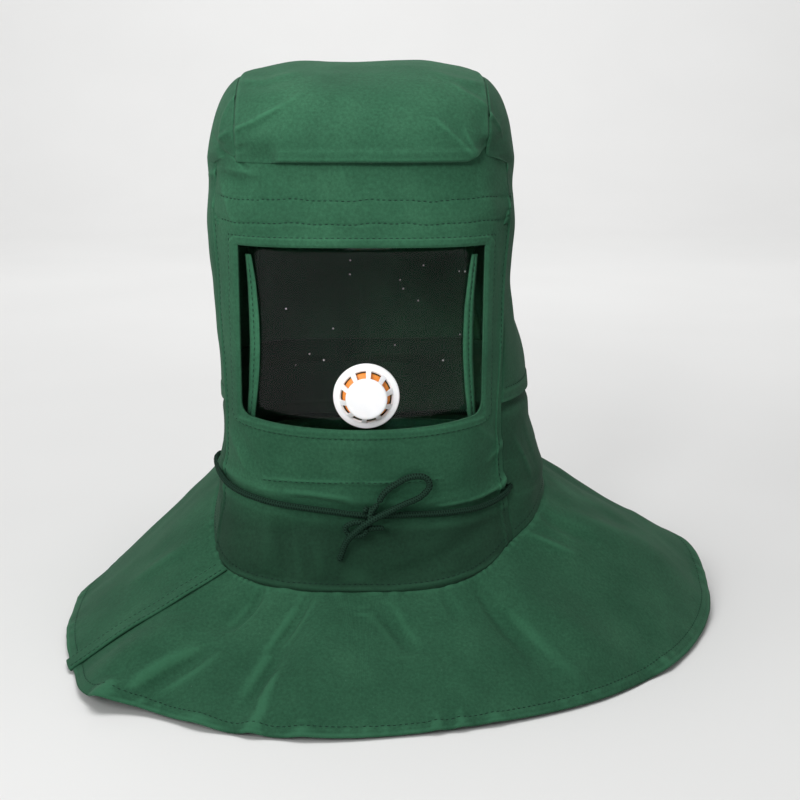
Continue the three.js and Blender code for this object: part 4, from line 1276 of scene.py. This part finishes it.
def placket_place(u, v):
    share = mix(0.015, 1 + PLACKET_PROUD / CAPE_REACH, v)
    middle = mix(PLACKET_START_TURN, PLACKET_END_TURN, v)
    base = cape_surface(middle, np.minimum(share, 1))
    reach = np.hypot(base[..., 0], base[..., 1])
    turn = middle + (2 * u - 1) * (PLACKET_WIDTH / 2 / reach)
    points = cape_surface(turn, share)
    normals = normals_of(points, False)
    normals = normals * outward(points, normals)
    return points + normals * (CLOTH + SKIN_GAP)


def placket_relief(u, v, points):
    across = (1 - np.abs(2 * u - 1)) * PLACKET_WIDTH / 2
    total = noise_relief(points, 24, 0.7, 13) + groove(across, 1.0, 1.0)
    return total + groove(across - 2.5, 0.3, 0.8)


def placket_on_cloth(u, v, points):
    return np.stack([u * PLACKET_WIDTH, v * CAPE_SLANT], -1)


placket = cloth_panel(
    "placket_cloth", 34, 240, placket_place, placket_relief, placket_on_cloth, thickness=1.8)
dress(placket, placket_canvas, "canvas", "cape_placket")
along_strip = np.linspace(0.02, 0.985, 80)
placket_grid = placket_place(*np.meshgrid([0.16, 0.84], along_strip))
placket_stitches = sew("placket_stitches", placket, [placket_grid[:, 0], placket_grid[:, 1]])
hem_turns = np.linspace(0, 2 * np.pi, 500)
cape_stitches = sew("cape_stitches", cape, [cape_surface(hem_turns, 1 - 8 / CAPE_SLANT)])

# %% [markdown]
# ## Visor film
# Behind the window lies a sheet of clear film, sewn to the panel above and below and bound with
# cloth along its sides. Film that has been used has fine scratches and specks of dust. The
# scratches go into its roughness, and the specks are small opaque dots in its colour.

# %% Hang the film
VISOR_SETBACK = 9
VISOR_MARGIN = 13
VISOR_SIDE_ROOM = 5
STRIP_WIDTH = 6.5
STRIP_THICKNESS = 1.2
STRIP_BOW = 4
FILM_TOP = WINDOW_TOP
FILM_FOOT = WINDOW_FOOT - WINDOW_SAG


def visor_half_width(z):
    run = np.clip((z - FILM_FOOT) / (FILM_TOP - FILM_FOOT), 0, 1)
    return WINDOW_WIDTH / 2 - VISOR_SIDE_ROOM - STRIP_BOW * np.sin(np.pi * run)


def visor_surface(x, z):
    in_top = smoothstep(FILM_TOP + VISOR_MARGIN / 2 - z, 0, VISOR_MARGIN)
    in_foot = smoothstep(z - FILM_FOOT + VISOR_MARGIN, 0, VISOR_MARGIN - 4)
    back = CLOTH + SKIN_GAP * 3.6 + VISOR_SETBACK * in_top * in_foot
    return np.stack([x, plain_front_at(x, z) + back, z], -1)


def visor_place(u, v):
    z = mix(FILM_FOOT - VISOR_MARGIN, FILM_TOP + VISOR_MARGIN, v)
    return visor_surface((2 * u - 1) * visor_half_width(z), z)


def visor_relief(u, v, points):
    return noise_relief(points, 60, 0.5, 14)


def visor_on_cloth(u, v, points):
    return np.stack([points[..., 0], points[..., 2]], -1)


def film_material():
    material, tree, shader = new_material("visor film")
    place = tree.nodes.new("ShaderNodeTexCoord")
    stretch = tree.nodes.new("ShaderNodeMapping")
    stretch.inputs["Scale"].default_value = (1, 1, 0.16)
    stretch.inputs["Rotation"].default_value = (0, 0.5, 0)
    tree.links.new(place.outputs["Object"], stretch.inputs["Vector"])
    scratch = noise_node(tree, stretch.outputs["Vector"], 260, 2).outputs["Fac"]
    haze = noise_node(tree, place.outputs["Object"], 30, 2).outputs["Fac"]
    specks = tree.nodes.new("ShaderNodeTexVoronoi")
    specks.inputs["Scale"].default_value = 130
    tree.links.new(place.outputs["Object"], specks.inputs["Vector"])
    rare = noise_node(tree, place.outputs["Object"], 45, 2).outputs["Fac"]
    dot = math_node(tree, "LESS_THAN", specks.outputs["Distance"], 0.075)
    dot = math_node(tree, "MULTIPLY", dot, math_node(tree, "GREATER_THAN", rare, 0.54))
    colour = mix_colour(tree, "MIX", dot, (0.93, 0.96, 0.95, 1), (0.4, 0.43, 0.42, 1))
    tree.links.new(colour, shader.inputs["Base Color"])
    tree.links.new(math_node(tree, "SUBTRACT", 1.0, dot), shader.inputs["Transmission Weight"])
    lines = ramp_node(tree, scratch, [(0.66, (0.0, 0.0, 0.0)), (0.75, (0.16, 0.16, 0.16))])
    veil = ramp_node(tree, haze, [(0.3, (0.0, 0.0, 0.0)), (0.8, (0.02, 0.02, 0.02))])
    rough = mix_colour(tree, "ADD", 1.0, lines.outputs["Color"], veil.outputs["Color"])
    tree.links.new(rough, shader.inputs["Roughness"])
    shader.inputs["IOR"].default_value = 1.2
    return material


film = film_material()
visor = cloth_panel("visor_film", 80, 90, visor_place, visor_relief, visor_on_cloth, thickness=0.8)
dress(visor, film, "visor_film", "visor")


# %% Bind the film's sides with cloth
def strip_place(side):
    def place(u, v):
        z = mix(FILM_FOOT, FILM_TOP - 6.5, v)
        across = u if side > 0 else 1 - u
        width = STRIP_WIDTH * mix(0.55, 1.0, np.sin(np.pi * np.clip(v * 0.9 + 0.1, 0, 1)) ** 0.7)
        x = side * (visor_half_width(z) + (across - 0.5) * width)
        points = visor_surface(x, z)
        points[..., 1] -= STRIP_THICKNESS + SKIN_GAP * 3
        return points

    return place


def strip_relief(u, v, points):
    across = (1 - np.abs(2 * u - 1)) * STRIP_WIDTH / 2
    middle = groove(across - STRIP_WIDTH / 2, 0.45, 0.7)
    return noise_relief(points, 14, 0.35, 15) + groove(across, 0.8, 0.9) + middle


def strip_on_cloth(u, v, points):
    return np.stack([u * STRIP_WIDTH, points[..., 2]], -1)


# The strips' canvas is a lighter copy, as painted light.
for side, name in ((-1, "left"), (1, "right")):
    strip = cloth_panel(
        f"strip_cloth_{name}", 18, 110, strip_place(side), strip_relief, strip_on_cloth, thickness=1.1)
    dress(strip, strip_painted_light_canvas, "canvas", f"visor_strip_{name}")
    strip_middle = strip_place(side)(np.full(60, 0.5), np.linspace(0.03, 0.97, 60))
    sew(f"strip_stitches_{name}", strip, [strip_middle])

# %% [markdown]
# ## Breather valve
# The valve is a white moulding: a flat flange, a sloping ring of slots and a flat cap, with an
# orange rubber flap behind the slots. Spinning a profile makes the shell. Taking out the faces
# where the slots are, before the wall gets its thickness, leaves clean ribs between them.

# %% Spin and cut the valve
VALVE_RADIUS = 20.5
VALVE_SLOTS = 10
VALVE_STEPS = 12
VALVE_X = 3
VALVE_Z = FILM_FOOT + VALVE_RADIUS - 1.5
VALVE_TURN = math.radians(5)
valve_back = float(visor_surface(np.array(0.0), np.array(VALVE_Z))[1]) - SKIN_GAP * 1.8
VALVE_PROFILE = [
    (0.0, 10.0), (10.9, 10.0), (12.0, 9.9), (12.6, 9.5), (12.9, 9.0),
    (16.6, 2.3), (17.0, 1.75), (17.8, 1.6), (19.9, 1.6), (20.3, 1.35), (20.5, 0.9), (20.5, 0.0),
]
SLOT_FROM, SLOT_TO = 12.95, 16.55


def spin_profile(bm, profile, steps):
    verts = [bm.verts.new((radius * MM, -height * MM, 0)) for radius, height in profile]
    edges = [bm.edges.new(pair) for pair in zip(verts, verts[1:])]
    bmesh.ops.spin(
        bm, geom=verts + edges, cent=(0, 0, 0), axis=(0, 1, 0), angle=2 * math.pi, steps=steps,
        use_merge=True)
    bmesh.ops.remove_doubles(bm, verts=bm.verts[:], dist=1e-6)


def place_valve(bm):
    bmesh.ops.rotate(bm, verts=bm.verts[:], cent=(0, 0, 0), matrix=Matrix.Rotation(VALVE_TURN, 3, "Y"))
    bmesh.ops.translate(bm, verts=bm.verts[:], vec=(VALVE_X * MM, valve_back * MM, VALVE_Z * MM))
    bmesh.ops.recalc_face_normals(bm, faces=bm.faces[:])


bm = bmesh.new()
spin_profile(bm, VALVE_PROFILE, VALVE_SLOTS * VALVE_STEPS)
slots = []
for face in bm.faces:
    centre = face.calc_center_median() / MM
    radius = math.hypot(centre.x, centre.z)
    turn = math.atan2(centre.x, centre.z) / (2 * math.pi) * VALVE_SLOTS
    if SLOT_FROM < radius < SLOT_TO and abs((turn % 1) - 0.5) < 0.35:
        slots.append(face)
bmesh.ops.delete(bm, geom=slots, context="FACES")
place_valve(bm)
valve = finish_mesh("valve_shell", bm, thickness=1.3)
edges = valve.modifiers.new("soft edges", "BEVEL")
edges.width = 0.00022
edges.segments = 2
edges.limit_method = "ANGLE"


def moulded_material(name, colour, roughness, deep):
    material, tree, shader = new_material(name)
    place = tree.nodes.new("ShaderNodeTexCoord")
    cloud = noise_node(tree, place.outputs["Object"], 90, 3).outputs["Fac"]
    tone = ramp_node(tree, cloud, [(0.3, scaled(colour, 0.93)), (0.7, colour)])
    tree.links.new(tone.outputs["Color"], shader.inputs["Base Color"])
    grain = noise_node(tree, place.outputs["Object"], 1800, 2).outputs["Fac"]
    tree.links.new(bump_node(tree, grain, 0.12, 0.0001), shader.inputs["Normal"])
    rough = ramp_node(tree, cloud, [(0.3, (roughness - 0.06,) * 3), (0.7, (roughness + 0.06,) * 3)])
    tree.links.new(rough.outputs["Color"], shader.inputs["Roughness"])
    shader.inputs["Subsurface Weight"].default_value = deep
    shader.inputs["Subsurface Radius"].default_value = (0.002, 0.0016, 0.0012)
    return material


white_plastic = moulded_material("white moulding", (0.86, 0.86, 0.87), 0.42, 0.15)
orange_rubber = moulded_material("orange rubber", (0.86, 0.28, 0.035), 0.5, 0.05)
dress(valve, white_plastic, "valve_plastic", "valve_body")

FLAP_PROFILE = [(0.0, 4.2), (8.8, 4.2), (9.6, 4.1), (14.2, 1.6), (14.7, 1.2), (14.7, 0.0), (0.0, 0.0)]
bm = bmesh.new()
spin_profile(bm, FLAP_PROFILE, 64)
place_valve(bm)
flap = finish_mesh("valve_flap", bm)
dress(flap, orange_rubber, "valve_rubber", "valve_diaphragm")

# %% [markdown]
# ## Drawcord
# The cord is a limp braid about 4 mm thick. It comes out of the left slit, crosses the front,
# goes in at the right slit and lies round the back inside the neck. It is tied in front in a
# bow with one long loop. A tube round a smooth path gives it, with two plies winding
# round each other, so that the outline is slightly knobbly like the real one.

# %% Make a corded tube
PLY_PITCH = 9.0


def smooth_path(route, step=0.8):
    """Points along a Catmull-Rom curve through a route, in even steps."""
    knots = np.array(route, float)
    padded = np.concatenate([[2 * knots[0] - knots[1]], knots, [2 * knots[-1] - knots[-2]]])
    pieces = []
    t = np.linspace(0, 1, 24, endpoint=False)[:, None]
    for a, b, c, d in zip(padded, padded[1:], padded[2:], padded[3:]):
        bend = (2 * a - 5 * b + 4 * c - d) * t**2 + (3 * b - a - 3 * c + d) * t**3
        pieces.append(0.5 * (2 * b + (c - a) * t + bend))
    dense = np.concatenate(pieces + [knots[-1:]])
    length = path_length(dense)
    return points_at(dense, np.linspace(0, length, max(8, int(length / step)) + 1))


def path_length(path):
    return float(run_along(path)[-1])


def frames_along(path):
    """A side and an up direction at each point, carried along without twist."""
    ahead = np.gradient(path, axis=0)
    ahead /= np.linalg.norm(ahead, axis=1, keepdims=True)
    side = np.cross(ahead[0], (0, 0, 1.0))
    side /= np.linalg.norm(side)
    sides = []
    for direction in ahead:
        side = side - direction * side.dot(direction)
        side /= np.linalg.norm(side)
        sides.append(side)
    sides = np.array(sides)
    return sides, np.cross(ahead, sides)


def add_tube(bm, path, radius, around=20):
    """A tube of rounds of faces from one grid, wrapped round the path."""
    sides, ups = frames_along(path)
    rounds = len(path) - 1
    uv_layer = bm.loops.layers.uv.verify()
    made = bmesh.ops.create_grid(bm, x_segments=around, y_segments=rounds, size=0.5)["verts"]
    run = run_along(path)
    corner = {}
    for vert in made:
        corner[vert] = (round((vert.co.y + 0.5) * rounds), round((vert.co.x + 0.5) * around))
    faces = {face for vert in made for face in vert.link_faces}
    for face in faces:
        for loop in face.loops:
            j, i = corner[loop.vert]
            loop[uv_layer].uv = (i / around, run[j] * MM)
    for vert in made:
        j, i = corner[vert]
        turn = 2 * math.pi * i / around
        ply = abs(math.cos(turn - 2 * math.pi * run[j] / PLY_PITCH))
        near_end = min(run[j], run[-1] - run[j])
        tip = math.sqrt(max(0.05, 1 - max(0.0, 1 - near_end / radius) ** 2))
        wide = radius * (0.9 + 0.1 * ply) * tip
        vert.co = Vector((path[j] + wide * (math.cos(turn) * sides[j] + math.sin(turn) * ups[j])) * MM)
    bmesh.ops.remove_doubles(bm, verts=made, dist=1e-6)
    rims = [edge for edge in bm.edges if edge.is_boundary]
    bmesh.ops.holes_fill(bm, edges=rims, sides=around + 1)


def make_tube(name, *paths, radius=CORD_DIAMETER / 2):
    bm = bmesh.new()
    bm.loops.layers.uv.new("UVMap")
    for path in paths:
        add_tube(bm, path, radius)
    bmesh.ops.recalc_face_normals(bm, faces=bm.faces[:])
    return finish_mesh(name, bm)


# %% Make the cord's material
def cord_material():
    material, tree, shader = new_material("dark braided cord")
    uv = tree.nodes.new("ShaderNodeUVMap")
    uv.uv_map = "UVMap"
    braid = []
    for lean in (1, -1):
        turn = tree.nodes.new("ShaderNodeMapping")
        turn.inputs["Scale"].default_value = (3.0, lean * 620, 1)
        tree.links.new(uv.outputs["UV"], turn.inputs["Vector"])
        wave = tree.nodes.new("ShaderNodeTexWave")
        wave.bands_direction = "DIAGONAL"
        wave.inputs["Scale"].default_value = 0.62
        wave.inputs["Distortion"].default_value = 0.6
        tree.links.new(turn.outputs["Vector"], wave.inputs["Vector"])
        braid.append(wave.outputs["Fac"])
    plait = math_node(tree, "MAXIMUM", *braid)
    fuzz = noise_node(tree, uv.outputs["UV"], 900, 3).outputs["Fac"]
    stops = [(0.2, (0.003, 0.010, 0.006)), (0.62, (0.006, 0.020, 0.012)), (0.95, (0.015, 0.040, 0.026))]
    colour = ramp_node(tree, plait, stops).outputs["Color"]
    lint = ramp_node(tree, fuzz, [(0.3, (0.7, 0.7, 0.7)), (0.7, (1.3, 1.3, 1.3))]).outputs["Color"]
    colour = mix_colour(tree, "MULTIPLY", 1.0, colour, lint)
    tree.links.new(colour, shader.inputs["Base Color"])
    relief = bump_node(tree, plait, 0.7, 0.0003)
    relief = bump_node(tree, fuzz, 0.3, 0.0002, relief)
    tree.links.new(relief, shader.inputs["Normal"])
    shader.inputs["Roughness"].default_value = 0.8
    shader.inputs["Specular IOR Level"].default_value = 0.06
    return material


cord_finish = cord_material()
cord_path = smooth_path(CORD_ROUTE)
bow_path = smooth_path(BOW_ROUTE)
cord = dress(make_tube("cord", cord_path), cord_finish, "cord", "drawcord")
bow = dress(make_tube("cord_bow", bow_path), cord_finish, "cord", "drawcord_bow")
print("cord", round(path_length(cord_path)), "mm, bow", round(path_length(bow_path)), "mm")

# %% [markdown]
# ## Knot
# The bow's knot is a few turns of the same cord pulled tight, with a second, small loop on the
# left and a cut end on the right. Each is its own short path, and one more leads up to where the
# bow starts. The turns are a helix about the cord. All are a little thinner than the cord,
# because it is squeezed there.

# %% Tie the knot
knot_x, knot_y, knot_z = KNOT_AT
turns = np.linspace(0.15, 1.45, 26)
wrap = np.stack([
    knot_x - 3.2 + 3.4 * turns,
    knot_y - 1.0 - 5.0 * np.cos(2 * np.pi * turns),
    knot_z - 1.0 + 5.6 * np.sin(2 * np.pi * turns),
], -1)
SMALL_LOOP = [
    (4, -121.5, -281.5), (-1, -122.5, -278.6), (-6, -122, -279.4), (-9.8, -121, -282.4),
    (-8.5, -121, -286.2), (-3.5, -122.5, -287.4), (1.5, -123.5, -286), (3.5, -123.5, -282),
]
CUT_END = [(4, -122.5, -282.5), (8, -122.8, -282.2), (11.5, -122, -282.4), (14, -121, -283.2)]
BOW_START = [(5.5, -120.5, -275), (7.6, -119.8, -271), BOW_ROUTE[0]]
KNOT_RADIUS = 1.75
KNOT_STEP = 0.6
knot_paths = [smooth_path(route, KNOT_STEP) for route in (wrap, SMALL_LOOP, CUT_END)]
knot = make_tube("knot", *knot_paths, smooth_path(BOW_START), radius=KNOT_RADIUS)
dress(knot, cord_finish, "cord", "cord_knot")

# %% [markdown]
# ## Floor and light
# The hood stands in a white studio sweep: a floor that curves up into the background, so that no
# horizon shows. A soft lamp above and one on the left give the pale, low shadows of the
# photograph, one behind lights the background, and a soft spot lifts the brow and the crown.

# %% Lay the floor and set the lamps
FLOOR_Z = float(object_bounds()[0][2]) - 0.0005
PAPER_WIDTH = 12
PAPER_LENGTH = 8
PAPER_START = -2.4
LEVEL_LENGTH = 4.6
SWEEP_RADIUS = 1.2

bm = bmesh.new()
bmesh.ops.create_grid(bm, x_segments=40, y_segments=80, size=0.5)
for vert in bm.verts:
    run = (vert.co.y + 0.5) * PAPER_LENGTH
    vert.co.x *= PAPER_WIDTH
    bend = max(0.0, run - LEVEL_LENGTH)
    angle = min(bend / SWEEP_RADIUS, math.pi / 2)
    upright = max(0.0, bend - SWEEP_RADIUS * math.pi / 2)
    vert.co.y = PAPER_START + min(run, LEVEL_LENGTH) + SWEEP_RADIUS * math.sin(angle)
    vert.co.z = FLOOR_Z + SWEEP_RADIUS * (1 - math.cos(angle)) + upright
floor = finish_mesh("studio_floor", bm)
paper = plain_material("studio paper", 3, (0.78, 0.78, 0.775), (0.80, 0.80, 0.795), 0.9, 0.1)
floor.data.materials.append(paper)


def lamp(name, place, aim, size, power):
    data = bpy.data.lights.new(name, "AREA")
    data.shape = "RECTANGLE"
    data.size, data.size_y = size
    data.energy = power
    piece = bpy.data.objects.new(name, data)
    bpy.context.scene.collection.objects.link(piece)
    piece.location = place
    piece.rotation_euler = (Vector(aim) - Vector(place)).to_track_quat("-Z", "Y").to_euler()
    return piece


lamp("top_lamp", (-0.1, -0.25, 0.9), (0, -0.05, -0.2), (0.9, 0.7), 9)
lamp("key_lamp", (-1.0, -1.5, 0.7), (0, 0, -0.15), (0.9, 0.9), 14)
lamp("back_lamp", (0, 0.9, 1.7), (0, 3.4, 0.7), (3.0, 0.5), 50)
brow_lamp = lamp("brow_lamp", (-0.35, -1.15, 0.3), (0, -0.1, -0.085), (0.1, 0.1), 36)
brow_lamp.data.type = "SPOT"
brow_lamp.data.shadow_soft_size = 0.12
brow_lamp.data.spot_size = math.radians(21)
brow_lamp.data.spot_blend = 1

world = bpy.data.worlds.new("studio")
world.use_nodes = True
background = world.node_tree.nodes["Background"]
background.inputs["Color"].default_value = (1.0, 1.0, 1.0, 1)
background.inputs["Strength"].default_value = 0.4
bpy.context.scene.world = world
